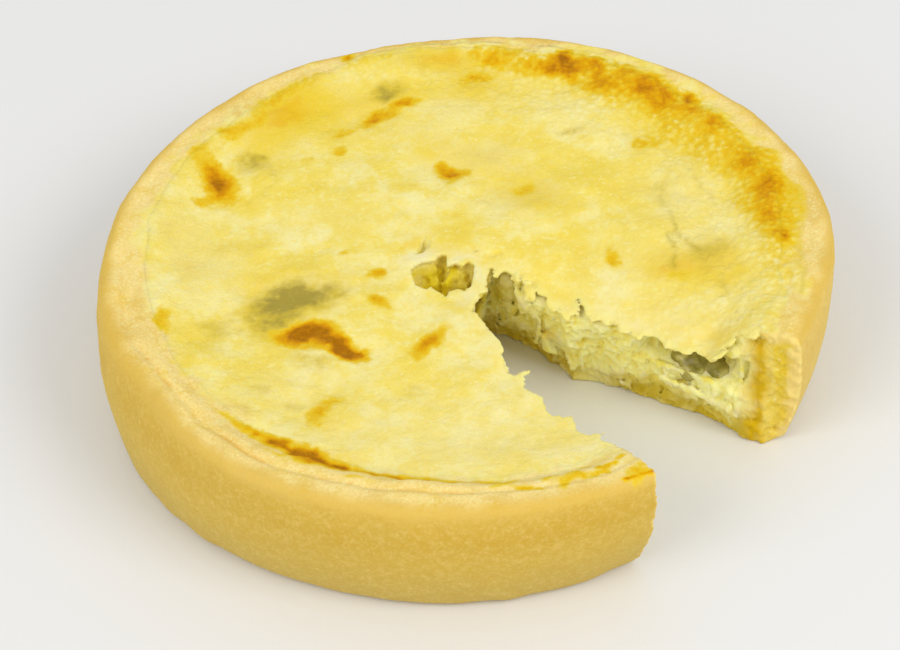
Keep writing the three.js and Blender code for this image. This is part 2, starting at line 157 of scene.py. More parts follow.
# The torn edge of the skin round the hole.
HOLE_EDGE = (
    (-8.9, -0.6), (-8.1, 0.1), (-7, 0.9), (-4.9, 0.9), (-4.3, 1.9), (-3.7, 2.4), (-2.9, 2), (-3, -0.5),
    (-1.6, 0.1), (-0.4, -0.8), (0.5, 0.4), (1.5, -0.4), (1.3, -2.2), (1.1, -3.2), (0.7, -5.4), (-0.4, -6.3),
    (-1.4, -5.9), (-2.2, -6.1), (-3.1, -6.5), (-3.3, -7.6), (-3.9, -6.7), (-4.9, -6), (-5.8, -4.9),
    (-6.5, -5.5), (-7.5, -4.8), (-8.3, -4.2), (-8.6, -2.3),
)

# The vegetable pieces: along the right side, how deep in, height, radii, seed.
LARGE_PIECE = (37.2, 2.3, 9.6, (6.6, 3.2, 2.7), 1.3)
SMALL_PIECE = (3.0, 0.2, 15.4, (2.0, 1.9, 3.2), 4.1)

# ---- The grid: close lines round the cut, wide lines elsewhere ----

FINE = 0.27
COARSE = 0.52
RISE = 0.28
GRID_X = (-62.5, 62.5)
GRID_Y = (-60.0, 63.0)
GRID_TOP = 26.5
FINE_X = (-14.0, 53.0)
FINE_Y = (-57.0, 8.0)
WIDEST = 62.0  # no part of the quiche lies farther out
MOST_TRIANGLES = 190000
HIDDEN_THINNING = 0.65  # the share of the triangles out of sight that may go
STEEPEST_TOP = 0.7  # the baked top never tilts so far that its upward share is less
CUSTARD_REACH = 12.0  # how far in from the cut the torn relief is worked out
PASTRY_REACH = 9.0
LUMP_ROUNDS = 5


# ---- Helpers ----


def blend(low, high, share):
    return low + (high - low) * share


def bump(distance, width):
    return np.exp(-((distance / width) ** 2))


def ease(value, start, end):
    share = np.clip((value - start) / (end - start), 0.0, 1.0)
    return share * share * (3.0 - 2.0 * share)


def rounded_min(a, b, radius):
    """The smaller of two distances inside, with the edge between them rounded off."""
    corner = radius - np.hypot(np.maximum(radius - a, 0.0), np.maximum(radius - b, 0.0))
    return np.where(np.minimum(a, b) < radius, corner, np.minimum(a, b))


def smooth_max(a, b, radius):
    """The larger of two distances inside, with the corner between them filled in."""
    share = np.clip(0.5 + 0.5 * (a - b) / radius, 0.0, 1.0)
    return blend(b, a, share) + radius * share * (1.0 - share)


LATTICE_SIZE = 64
LATTICE = np.random.default_rng(11).uniform(-1.0, 1.0, (LATTICE_SIZE,) * 3).astype(np.float32)


def noise(x, y, z, size, seed):
    """Smooth random relief between -1 and 1, with lumps about as long as size."""
    lows, shares = [], []
    for value, offset in zip((x, y, z), (17.31, 5.17, 41.73)):
        scaled = np.asarray(value, np.float32) / size + offset * seed
        low = np.floor(scaled)
        share = scaled - low
        lows.append(low.astype(np.int32))
        shares.append(share * share * (3.0 - 2.0 * share))
    total = 0.0
    for corner in range(8):
        steps = (corner & 1, corner >> 1 & 1, corner >> 2)
        picks = [(low + step) % LATTICE_SIZE for low, step in zip(lows, steps)]
        weights = [share if step else 1.0 - share for share, step in zip(shares, steps)]
        total = total + weights[0] * weights[1] * weights[2] * LATTICE[picks[0], picks[1], picks[2]]
    return 1.5 * total


def lumps(x, y, size, seed):
    """The broad unevenness of the baked top."""
    u, v = 2.0 * x / size, 2.0 * y / size
    wide = np.sin(u + 0.7 * v + seed) * np.sin(1.1 * v - 0.4 * u + 2.3 * seed)
    fine = np.sin(2.3 * u - 0.9 * v + 1.7 * seed) * np.sin(1.9 * v + 0.8 * u + seed)
    return 0.65 * wide + 0.35 * fine


# ---- Forms in plan and section ----


def degrees_from(azimuth, at):
    """How many degrees round an azimuth in radians lies from one in degrees."""
    return (np.degrees(azimuth) - at + 180.0) % 360.0 - 180.0


def swelling(swells, azimuth):
    return sum(reach * bump(degrees_from(azimuth, at), width) for at, reach, width in swells)


def beside(start, end, turn_to_gap, x, y):
    """How far along a side of the cut a point lies, and how far out into the gap."""
    direction = np.subtract(end, start) / math.dist(start, end)
    dx, dy = x - start[0], y - start[1]
    along = dx * direction[0] + dy * direction[1]
    out = turn_to_gap * (dy * direction[0] - dx * direction[1])
    return along, out


def lip_droop(along):
    return SKIN_DROOP * ease(along, 2.0, 14.0) * (1.0 - ease(along, 38.0, 48.0))


class Plan:
    """What depends only on where a point lies in plan: radii, the baked level, the cut."""

    def __init__(self, x, y):
        self.x, self.y = x, y
        self.azimuth = np.arctan2(y, x)
        self.radius = np.hypot(x, y)
        self.custard_radius = np.hypot(x, y - CUSTARD_SHIFT)
        custard_azimuth = np.arctan2(y - CUSTARD_SHIFT, x)
        ragged = self.grain((0.5, 5.0, 3), (0.25, 1.8, 5))
        self.custard_edge = CUSTARD_RADIUS + swelling(CUSTARD_SWELLS, custard_azimuth) + ragged
        self.beyond = self.custard_radius - self.custard_edge
        self.foot = FOOT_RADIUS - FOOT_LEAN * np.cos(self.azimuth) + swelling(FOOT_SWELLS, self.azimuth)
        self.rim = RIM_RADIUS + RIM_SHIFT * np.sin(self.azimuth) + swelling(RIM_SWELLS, self.azimuth)
        self.along_left, self.out_left = beside(LEFT_TIP, LEFT_END, 1, x, y)
        self.along_tip, self.out_tip = beside(RIGHT_TIP, RIGHT_BEND, -1, x, y)
        self.along_right, self.out_right = beside(RIGHT_BEND, RIGHT_END, -1, x, y)
        self.gap = np.minimum(np.minimum(self.out_left, self.out_tip), self.out_right)
        self.open_level = self.baked_level()
        self.base_top = self.grain((0.7, 3.4, 13), (0.3, 1.3, 14), on=BASE_THICKNESS)
        self.rim_level = self.rim_top()
        self.top = self.open_level - 0.15 * np.maximum(self.beyond + 0.4, 0.0) - self.sag()
        self.skin_gap = inside_outline(SKIN_GAP, x, y)
        self.in_hole = inside_outline(HOLE_EDGE, x, y)

    def each(self, change):
        """The same plan, with every value reshaped or picked from by the given function."""
        other = Plan.__new__(Plan)
        vars(other).update({name: change(value) for name, value in vars(self).items()})
        return other

    def grain(self, *layers, z=0.0, on=0.0):
        """Layers of noise on top of each other: the height, size and seed of each."""
        return sum((height * noise(self.x, self.y, z, size, seed) for height, size, seed in layers), on)

    def away(self, point):
        """How far a place in plan lies from a point."""
        return np.hypot(self.x - point[0], self.y - point[1])

    def toward(self, azimuth, start, end):
        """A share that rises as the cosine of the angle from an azimuth goes from start to end."""
        return ease(np.cos(self.azimuth - math.radians(azimuth)), start, end)

    def baked_level(self):
        """Level of the custard's baked top, where the lip of skin doesn't sag."""
        out = self.custard_radius / self.custard_edge
        edge = CUSTARD_LEVEL + CUSTARD_TILT * self.y / CUSTARD_RADIUS
        dish = CUSTARD_DISH * (1.0 - ease(out, 0.72, 1.0))
        broad = 0.35 * lumps(self.x, self.y, 17.0, 2.0)
        blisters = self.grain((0.3, 6.5, 7), (0.16, 2.6, 9))
        less_in_front = 1.0 - 0.75 * bump(degrees_from(self.azimuth, -95.0), 42.0)
        climb = EDGE_CLIMB * less_in_front * ease(out, 0.82, 1.0)
        level = edge - dish + broad + blisters + self.grain((0.07, 1.1, 12)) + climb
        for *mark, depth in HOLLOWS_IN_TOP:
            level = level - depth * spot(self.x, self.y, *mark)
        return level

    def sag(self):
        """How far the lip of skin hangs down, most at its edge."""
        behind_lip = np.maximum(0.0, LIP_REACH - self.out_right)
        across = ease(self.out_right, LIP_REACH + 1.0, LIP_REACH + 5.0)
        return lip_droop(self.along_right) * np.exp(-((behind_lip / 8.0) ** 1.5)) * (1.0 - across)

    def groove(self, outer, width):
        """How far a point lies from the groove between the rim's lips, and how clear the groove is."""
        from_groove = outer - GROOVE_PLACE * width - self.grain((0.45, 9.0, 21))
        fading = bump(degrees_from(self.azimuth, GROOVE_CLEAREST), GROOVE_SPREAD)
        clear = GROOVE_LEAST + (1.0 - GROOVE_LEAST) * fading
        return from_groove, clear * ease(width, 3.5, 7.0)

    def wall(self, z):
        """Distance inside the outer wall."""
        up = np.clip(z / RIM_HEIGHT, 0.0, 1.05)
        return blend(self.foot, self.rim, up**0.8) + WALL_BULGE * np.sin(math.pi * up) - self.radius

    def rim_top(self):
        """Level of the rim's top across its width, with two lips and the groove between them."""
        outer = self.rim - self.radius
        width = np.maximum(outer + self.beyond, 0.5)
        across = np.clip(outer / width, -0.2, 1.2)
        crest = RIM_HEIGHT - 0.3 + 0.2 * np.sin(3.0 * self.azimuth + 1.0)
        crest = crest + 0.1 * np.sin(7.0 * self.azimuth)
        from_groove, clear = self.groove(outer, width)
        groove = GROOVE_DEPTH * bump(from_groove, GROOVE_HALF_WIDTH) * clear
        step = 0.4 * ease(from_groove, -1.2, 1.5)
        level = crest - groove - step + self.grain((0.16, 6.0, 22), (0.08, 2.8, 23), (0.04, 1.1, 25))
        meeting = self.open_level + 0.06 + 0.15 * np.minimum(self.beyond, 0.0)
        return blend(level, meeting, ease(across, 0.6, 1.0))


def inside_outline(outline, x, y, margin=6.0):
    """Distance inside a closed outline in plan, negative outside it, worked out only near it."""
    x, y = np.broadcast_arrays(x, y)
    low, high = np.min(outline, axis=0) - margin, np.max(outline, axis=0) + margin
    near = (x > low[0]) & (x < high[0]) & (y > low[1]) & (y < high[1])
    near_x, near_y = x[near], y[near]
    nearest = np.full(near_x.shape, margin)
    inside = np.zeros(near_x.shape, bool)
    for start, end in zip(outline, outline[1:] + outline[:1]):
        run_x, run_y = end[0] - start[0], end[1] - start[1]
        dx, dy = near_x - start[0], near_y - start[1]
        share = np.clip((dx * run_x + dy * run_y) / (run_x**2 + run_y**2), 0.0, 1.0)
        nearest = np.minimum(nearest, np.hypot(dx - share * run_x, dy - share * run_y))
        if run_y:
            inside ^= ((dy < 0.0) != (near_y < end[1])) & (dx < run_x * dy / run_y)
    distance = np.full(x.shape, -margin)
    distance[near] = np.where(inside, nearest, -nearest)
    return distance


def spot(x, y, at_x, at_y, half_length, half_width, turn):
    """A soft oval mark: 1 in its middle, falling off over its half length and half width."""
    angle = math.radians(turn)
    dx, dy = x - at_x, y - at_y
    along = (dx * math.cos(angle) + dy * math.sin(angle)) / half_length
    across = (dy * math.cos(angle) - dx * math.sin(angle)) / half_width
    return np.exp(-((along**2 + across**2) ** 0.9))


# Sunken places in the baked top, at the larger browned spots and the edge of the green patch:
# x, y, half length, half width, turn, depth.
HOLLOWS_IN_TOP = (
    (-41, 24.3, 5, 2.3, -68, 0.8), (-27.5, -6.5, 6, 4, 0, 0.9), (-26.2, -14.8, 3.6, 2, 5, 0.5),
    (-19.7, -18.3, 3.2, 1.4, -53, 0.7), (-1.7, 24.4, 2.6, 2.4, 0, 0.5), (-1.5, 53.6, 7, 2.6, -12, 0.5),
    (-14, 41, 4, 2.5, 20, 0.6), (-35.5, 29.4, 3.5, 3.5, 0, 0.5),
)


def ellipsoid(plan, z, centre, radii, turn):
    """Distance inside an ellipsoid, near enough."""
    angle = math.radians(turn)
    dx, dy, dz = plan.x - centre[0], plan.y - centre[1], z - centre[2]
    along = (dx * math.cos(angle) + dy * math.sin(angle)) / radii[0]
    across = (dy * math.cos(angle) - dx * math.sin(angle)) / radii[1]
    return (1.0 - np.sqrt(along**2 + across**2 + (dz / radii[2]) ** 2)) * min(radii)


def from_centre(place, centre, radii=(1.0, 1.0, 1.0)):
    """Distance from a centre, counted in radii: 1 on the ellipsoid round it."""
    steps = (((value - middle) / radius) ** 2 for value, middle, radius in zip(place, centre, radii))
    return np.sqrt(sum(steps))


def right_face(along, inside, height):
    """The place that lies along the right side of the cut, how deep in, and how high."""
    direction = np.subtract(RIGHT_END, RIGHT_BEND) / math.dist(RIGHT_BEND, RIGHT_END)
    inward = np.array((-direction[1], direction[0]))
    place = np.add(RIGHT_BEND, direction * along) + inward * inside
    return np.array((place[0], place[1], height))


def face_turn():
    return math.degrees(math.atan2(RIGHT_END[1] - RIGHT_BEND[1], RIGHT_END[0] - RIGHT_BEND[0]))


# ---- Fields ----


def crumb_relief(x, y, z):
    """Torn crumb: soft flakes and shreds with pockets between them."""
    bent = x + 0.8 * noise(x, y, z, 2.8, 31)
    swayed = y + 0.8 * noise(x, y, z, 2.8, 33)
    tall = z / 1.35 + 0.5 * noise(x, y, z, 2.4, 35)
    coarse = 0.5 * noise(bent, swayed, tall, 2.7, 36)
    flakes = 0.6 * (0.3 - np.abs(noise(bent, swayed, tall, 1.6, 37)))
    shreds = 0.5 * (0.3 - np.abs(noise(bent, swayed, tall / 1.3, 0.85, 38)))
    fine = 0.2 * noise(x, y, z, 0.55, 40)
    pockets = -0.2 * ease(noise(bent, swayed, z, 1.9, 39), 0.55, 1.05)
    return coarse + flakes + shreds + fine + pockets


def left_shape(along, z):
    """How far the crumb of the left side stands out: it is bitten in, and set back at its foot."""
    bite = -LEFT_BITE[1] * bump(along - LEFT_BITE[0], LEFT_BITE[2])
    pastry = ease(along, 38.0, 42.0)
    set_back = -0.9 * (1.0 - ease(z, 15.5, 17.6)) * (1.0 - pastry) * ease(z, 3.0, 6.0)
    return bite + set_back


def right_shape(along, z):
    """How far the crumb of the right side stands out, without the lip of skin."""
    at, out = np.array(FOOT_OF_RIGHT).T
    foot = np.interp(along, at, out)
    underside = CUSTARD_LEVEL - CUSTARD_DISH - SKIN_THICKNESS - lip_droop(along)
    span = ease(along, 1.0, 9.0) * (1.0 - ease(along, 43.0, 46.5))
    leans = blend(CRUMB_LEANS, 0.6 * CRUMB_LEANS, ease(along, 25.0, 31.0)) * span
    rise = np.clip((z - 1.0) / 14.0, 0.0, 1.0)
    below_skin = 1.0 - ease(z, underside - 0.3, underside + 1.2)
    slope = blend(foot, np.maximum(foot, 0.0) + leans, rise) * below_skin
    in_hollow = ((along - HOLLOW_ALONG) / HOLLOW_HALF_LENGTH) ** 4
    in_hollow = in_hollow + ((z - HOLLOW_HEIGHT) / HOLLOW_HALF_HEIGHT) ** 4
    hollow = -HOLLOW_DEPTH * np.exp(-in_hollow)
    tip_skin = 1.5 * bump(along, 6.0) * ease(z, underside - 0.5, underside + 0.8)
    edge = 0.7 * bump(along - 43.7, 1.1) * ease(z, 5.0, 8.0)
    return slope + hollow + tip_skin + edge + 0.5 * ease(along, 43.5, 46.5)


def opening(plan, z, relief):
    """Distance into the missing wedge, past the relief of its sides."""
    left = plan.out_left - left_shape(plan.along_left, z) - relief
    before_bend = plan.along_tip - math.dist(RIGHT_TIP, RIGHT_BEND)
    tip = plan.out_tip - right_shape(before_bend, z) - relief
    right = plan.out_right - right_shape(plan.along_right, z) - relief
    return np.minimum(np.minimum(left, tip), right)


def torn_skin(plan, z):
    """The sheet of baked skin, which reaches over the torn crumb and grows thin at its edge."""
    depth = plan.top - z
    past = plan.grain((0.28, 1.0, 50), (0.3, 0.5, 52), z=z) - plan.skin_gap
    thick = blend(0.55, 2.4, ease(past, 0.0, 3.2)) + plan.grain((0.35, 1.5, 49), z=z)
    sheet = np.minimum(rounded_min(depth, past, 0.45), thick - depth)
    return np.minimum(sheet, -plan.beyond)


def inside_case(plan, z):
    """Distance into the hollow of the case that the custard fills."""
    up = np.clip((z - BASE_THICKNESS) / (CUSTARD_LEVEL - BASE_THICKNESS), 0.0, 1.1)
    side = plan.custard_edge - CUSTARD_TAPER * (1.0 - up) - plan.custard_radius
    return np.minimum(z - plan.base_top, side)


def custard_body(plan, z):
    """The whole custard, before the wedge is taken out; its top edge runs on under the rim's."""
    tucked = np.minimum(plan.custard_edge + 1.1 - plan.custard_radius, z - plan.top + 1.2)
    return np.minimum(plan.top - z, np.maximum(inside_case(plan, z), tucked))


def hole_field(plan, z, relief):
    """Distance inside the hole beside the tip and the hollow that joins it to the cut."""
    depth = plan.top - z
    rough = relief + plan.grain((0.4, 1.6, 58), z=z)
    under_skin = ease(depth, 0.5, 1.4)
    crumbly = plan.grain((0.4, 1.2, 59), (0.3, 0.6, 60), z=z)
    sides = plan.in_hole + under_skin * (0.9 + 0.45 * rough) - 0.36 * np.maximum(depth - 0.8, 0.0)
    sides = sides + 0.7 * under_skin * crumbly
    bottom = HOLE_DEEP - 0.5 * bump(plan.away(HOLE_CENTRE), 2.5)
    hole = np.minimum(sides, bottom - depth + 0.5 * rough + 0.6 * crumbly)
    tunnel = ellipsoid(plan, z, TUNNEL_CENTRE, TUNNEL_RADII, TUNNEL_TURN) + 0.5 * rough
    tunnel = np.minimum(tunnel, depth - 2.2)
    void = ellipsoid(plan, z, TIP_VOID_CENTRE, TIP_VOID_RADII, 0) + 0.25 * rough
    return np.maximum(np.maximum(hole, tunnel), np.minimum(void, depth - 1.0))


def with_strands(field, plan, z):
    """The field with the strands and flaps of the right side grown onto it."""
    x, y = plan.x, plan.y
    outward = right_face(0.0, -1.0, 0.0) - right_face(0.0, 0.0, 0.0)
    for number, (points, half_widths) in enumerate(STRANDS):
        placed = np.array([right_face(along, -out, height) for along, out, height in points])
        low, high = placed.min(0) - 2.0, placed.max(0) + 2.0
        inside_x = (x[:, 0] > low[0]) & (x[:, 0] < high[0])
        columns = np.nonzero(inside_x & (y[:, 0] > low[1]) & (y[:, 0] < high[1]))[0]
        part = np.ix_(columns, np.nonzero((z[0] > low[2]) & (z[0] < high[2]))[0])
        at_x, at_y, at_z = x[part[0][:, 0]], y[part[0][:, 0]], z[:, part[1][0]]
        thickest = np.full((len(columns), part[1].size), -9.0)
        for start, end, first, last in zip(placed, placed[1:], half_widths, half_widths[1:]):
            run = end - start
            dx, dy, dz = at_x - start[0], at_y - start[1], at_z - start[2]
            share = np.clip((dx * run[0] + dy * run[1] + dz * run[2]) / np.dot(run, run), 0.0, 1.0)
            dx, dy, dz = dx - share * run[0], dy - share * run[1], dz - share * run[2]
            flat = 2.0 * (dx * outward[0] + dy * outward[1]) ** 2
            away = np.sqrt(dx**2 + dy**2 + dz**2 + flat)
            thickest = np.maximum(thickest, blend(first, last, share) - away)
        ragged = 0.4 * noise(at_x, at_y, at_z, 1.4, 30.0 + number)
        ragged = ragged + 0.3 * noise(at_x, at_y, at_z, 0.7, 48)
        shreds = 0.5 * (0.3 - np.abs(noise(at_x, at_y, at_z / 1.6, 0.9, 46)))
        thickest = thickest + min(1.0, 0.8 * max(half_widths)) * (ragged + shreds)
        field[part] = smooth_max(field[part], thickest, 0.6 * max(half_widths))
    return field


def custard_field(plan, z):
    """The custard with its torn sides, its skin, the hole, the pits and the strands."""
    body = custard_body(plan, z)
    relief = cut_relief(plan, z)
    crumb = np.minimum(body, -opening(plan, z, relief))
    over_gap = ease(plan.top - z, 1.6, 2.6) * 4.0 - plan.skin_gap
    crumb = smooth_max(np.minimum(crumb, over_gap), torn_skin(plan, z), 0.3)
    crumb = np.minimum(crumb, np.minimum(body + 0.02, plan.top - z))
    field = np.minimum(crumb, -hole_field(plan, z, relief))
    for at_x, at_y, *radii in PITS:
        pit = ellipsoid(plan, z, (at_x, at_y, CUSTARD_LEVEL - CUSTARD_DISH), radii, PIT_TURN)
        field = np.minimum(field, -(pit + 0.12 * relief + plan.grain((0.2, 0.8, 57), z=z)))
    for piece in (LARGE_PIECE, SMALL_PIECE, SIDE_POCKET):
        along, inside, height, radii = piece[:4]
        reach = [CAVITY_SHARE * radius for radius in radii]
        cavity = ellipsoid(plan, z, right_face(along, inside, height), reach, face_turn())
        field = np.minimum(field, -cavity)
    return with_strands(field, plan, z)


def cut_relief(plan, z):
    """The relief of the torn sides: crumb, then short pastry near the rim, where both pieces share it."""
    pastry = plan.grain((0.2, 2.2, 51), (0.2, 1.1, 53), (0.2, 0.6, 55), z=z)
    by_rim = np.maximum(ease(plan.along_right, 42.5, 45.5), ease(plan.along_left, 38.0, 42.0))
    return blend(crumb_relief(plan.x, plan.y, z), pastry, by_rim)


def case_outside(plan, z):
    """Distance inside the outer wall, the rim's top and the underside of the case."""
    wall = plan.grain((0.14, 7.0, 61), (0.05, 1.8, 63), z=z, on=plan.wall(z))
    wall = wall + plan.grain((0.35, 4.0, 65)) * (1.0 - ease(z, 0.0, 3.5))
    outside = rounded_min(wall, plan.rim_level - z, OUTER_ROUNDING)
    return rounded_min(outside, z, FOOT_ROUNDING)


def around_custard(plan, z):
    """Distance away from the custard: a little less by the cut, with a tongue under the skin's edge."""
    tongue = np.minimum(np.minimum(plan.beyond + 1.4, z - plan.rim_level + 1.0), -plan.gap - 0.5)
    return np.maximum(0.06 - inside_case(plan, z) + 0.3 * ease(-plan.gap, 3.0, 1.0), tongue)


def pastry_body(plan, z):
    """The whole case, before the wedge is taken out."""
    return np.minimum(case_outside(plan, z), around_custard(plan, z))


def case_relief(plan, z):
    """The relief of the torn case: along with the custard's, and crumbly at the corner of its foot."""
    at_corner = bump(plan.along_right - 49.3, 2.2) * bump(z - 2.4, 2.4)
    crumbly = 0.8 * at_corner * plan.grain((1.0, 1.3, 56), z=z, on=0.4)
    return cut_relief(plan, z) * (0.6 + 0.4 * ease(z, 0.3, 1.6)) + crumbly


def pastry_field(plan, z):
    """The case with its torn sides."""
    torn = rounded_min(case_outside(plan, z), -opening(plan, z, case_relief(plan, z)), 0.45)
    return np.minimum(torn, around_custard(plan, z))


# ---- From fields to meshes ----


def grid_lines(low, high, fine_span, fine, coarse):
    before = np.arange(low, fine_span[0], coarse)
    close = np.arange(fine_span[0], fine_span[1], fine)
    after = np.arange(fine_span[1], high + coarse, coarse)
    return np.concatenate((before, close, after)).astype(np.float32)


GRID = (
    grid_lines(*GRID_X, FINE_X, FINE, COARSE),
    grid_lines(*GRID_Y, FINE_Y, FINE, COARSE),
    np.arange(-2.2 * RISE, GRID_TOP, RISE).astype(np.float32),
)


def fill_field(whole, near_cut, reach):
    """A field on the whole grid: plain away from the cut, and with its relief near the cut."""
    x, y, z = GRID
    plan = Plan(x[:, None], y[None, :])
    spread = plan.each(lambda value: value[:, :, None])
    field = np.broadcast_to(whole(spread, z), (len(x), len(y), len(z))).astype(np.float32)
    picked = np.nonzero((plan.gap > -reach) & (plan.radius < WIDEST))
    columns = plan.each(lambda value: np.broadcast_to(value, plan.radius.shape)[picked][:, None])
    field[picked] = near_cut(columns, z[None, :])
    return field


def surface_of(field):
    """Vertices and quads of the surface where the field crosses zero, one vertex a cell."""
    inside = field > 0.0
    some = np.zeros(tuple(size - 1 for size in field.shape), bool)
    every = np.ones_like(some)
    corners = [(a, b, c) for a in (0, 1) for b in (0, 1) for c in (0, 1)]
    for a, b, c in corners:
        part = inside[a : a + some.shape[0], b : b + some.shape[1], c : c + some.shape[2]]
        some |= part
        every &= part
    cells = np.argwhere(some & ~every)
    number = np.full(some.shape, -1, np.int32)
    number[tuple(cells.T)] = np.arange(len(cells))
    values = [field[cells[:, 0] + a, cells[:, 1] + b, cells[:, 2] + c] for a, b, c in corners]
    total = np.zeros((len(cells), 3))
    count = np.zeros(len(cells))
    for first in range(8):
        for second in range(first + 1, 8):
            step = np.subtract(corners[second], corners[first])
            if np.abs(step).sum() != 1:
                continue
            low, high = values[first], values[second]
            crosses = (low > 0.0) != (high > 0.0)
            share = np.where(crosses, low / np.where(crosses, low - high, 1.0), 0.0)
            total += crosses[:, None] * (np.array(corners[first]) + share[:, None] * step)
            count += crosses
    local = total / count[:, None]
    vertices = np.empty_like(local)
    for axis, lines in enumerate(GRID):
        start = lines[cells[:, axis]]
        vertices[:, axis] = start + local[:, axis] * (lines[cells[:, axis] + 1] - start)
    return vertices, quads_between(inside, number)


def quads_between(inside, number):
    """One quad round each grid edge that the surface crosses, facing out."""
    quads = []
    for axis in range(3):
        side, up = (axis + 1) % 3, (axis + 2) % 3
        low = np.moveaxis(inside, axis, 0)[:-1]
        high = np.moveaxis(inside, axis, 0)[1:]
        crossed = np.moveaxis(low != high, 0, axis)
        edges = np.argwhere(crossed)
        middle = (edges[:, side] > 0) & (edges[:, up] > 0)
        middle &= (edges[:, side] < inside.shape[side] - 1) & (edges[:, up] < inside.shape[up] - 1)
        edges = edges[middle]
        ring = []
        for back_side, back_up in ((1, 1), (0, 1), (0, 0), (1, 0)):
            cell = edges.copy()
            cell[:, side] -= back_side
            cell[:, up] -= back_up
            ring.append(number[tuple(cell.T)])
        quad = np.stack(ring, 1)
        faces_up = inside[tuple(edges.T)]
        quads.append(np.where(faces_up[:, None], quad, quad[:, ::-1]))
    return np.concatenate(quads)


def largest_part(vertices, quads):
    """Drops the loose scraps, and keeps the largest joined part."""
    label = np.arange(len(vertices))
    pairs = np.concatenate((quads[:, (0, 1)], quads[:, (1, 2)], quads[:, (2, 3)]))
    while True:
        lowest = np.minimum(label[pairs[:, 0]], label[pairs[:, 1]])
        before = label.copy()
        np.minimum.at(label, pairs[:, 0], lowest)
        np.minimum.at(label, pairs[:, 1], lowest)
        label = label[label]
        if np.array_equal(before, label):
            break
    kept = label == np.bincount(label).argmax()
    renumbered = np.cumsum(kept) - 1
    return vertices[kept], renumbered[quads[kept[quads[:, 0]]]]


def link_object(name, data):
    made = bpy.data.objects.new(name, data)
    bpy.context.scene.collection.objects.link(made)
    return made


def mesh_object(name, vertices, faces):
    """A Blender object in metres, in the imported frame, from points in millimetres."""
    mesh = bpy.data.meshes.new(name)
    placed = (np.asarray(vertices) + CENTRING) * MM
    sides = faces.shape[1]
    mesh.vertices.add(len(placed))
    mesh.vertices.foreach_set("co", placed.astype(np.float32).ravel())
    mesh.loops.add(faces.size)
    mesh.loops.foreach_set("vertex_index", faces.astype(np.int32).ravel())
    mesh.polygons.add(len(faces))
    mesh.polygons.foreach_set("loop_start", np.arange(0, faces.size, sides, dtype=np.int32))
    mesh.update(calc_edges=True)
    mesh.validate()
    return link_object(name, mesh)


def thin_to(made, most, hidden=None):
    """Merges triangles until only so many are left, and only hidden ones if those are given."""
    triangles = sum(len(polygon.vertices) - 2 for polygon in made.data.polygons)
    if triangles <= most:
        return
    modifier = made.modifiers.new("thin", "DECIMATE")
    modifier.ratio = most / triangles
    if hidden is not None:
        group = made.vertex_groups.new(name="hidden")
        group.add(np.nonzero(hidden)[0].tolist(), 1.0, "REPLACE")
        modifier.vertex_group = group.name
        modifier.vertex_group_factor = 1.0
    reduced = bpy.data.meshes.new_from_object(made.evaluated_get(bpy.context.evaluated_depsgraph_get()))
    made.modifiers.clear()
    made.vertex_groups.clear()
    old = made.data
    made.data = reduced
    bpy.data.meshes.remove(old)
    made.data.name = made.name


def thinned(made, hidden_from_view):
    """The object with no more triangles than allowed, thinned most where nothing of it is seen."""
    hidden = hidden_from_view(*points_of(made).T)
    triangles = 2 * len(made.data.polygons)
    thin_to(made, int(triangles * (1.0 - HIDDEN_THINNING * hidden.mean())), hidden)
    thin_to(made, MOST_TRIANGLES)
    return made


def without_folds(made, on_plain_top):
    """Takes out the few vertices of the plain top that the thinning left folded over."""
    shape = bmesh.new()
    shape.from_mesh(made.data)
    shape.verts.ensure_lookup_table()
    on_top = (shape.verts[index] for index in np.nonzero(on_plain_top)[0])
    folded = [vertex for vertex in on_top if vertex.normal.z < STEEPEST_TOP]
    bmesh.ops.dissolve_verts(shape, verts=folded)
    bmesh.ops.triangulate(shape, faces=[face for face in shape.faces if len(face.verts) > 4])
    shape.to_mesh(made.data)
    shape.free()


def points_of(made):
    """The object's vertices in millimetres, before the centring."""
    flat = np.empty(len(made.data.vertices) * 3, np.float32)
    made.data.vertices.foreach_get("co", flat)
    return flat.reshape(-1, 3) / MM - CENTRING


def give_shares(made, **shares):
    """Stores one number a vertex under each name, for the material to read."""
    for name, values in shares.items():
        attribute = made.data.attributes.new(name, "FLOAT", "POINT")
        attribute.data.foreach_set("value", np.clip(values, 0.0, 1.0).astype(np.float32))


def finish_piece(made, material, slot, *nodes):
    made.data.materials.clear()
    made.data.materials.append(material)
    made.data.shade_smooth()
    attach(made, "root")
    if nodes:
        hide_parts(*nodes)


# ---- Marks on the baked top: x, y, half length, half width, turn, strength ----

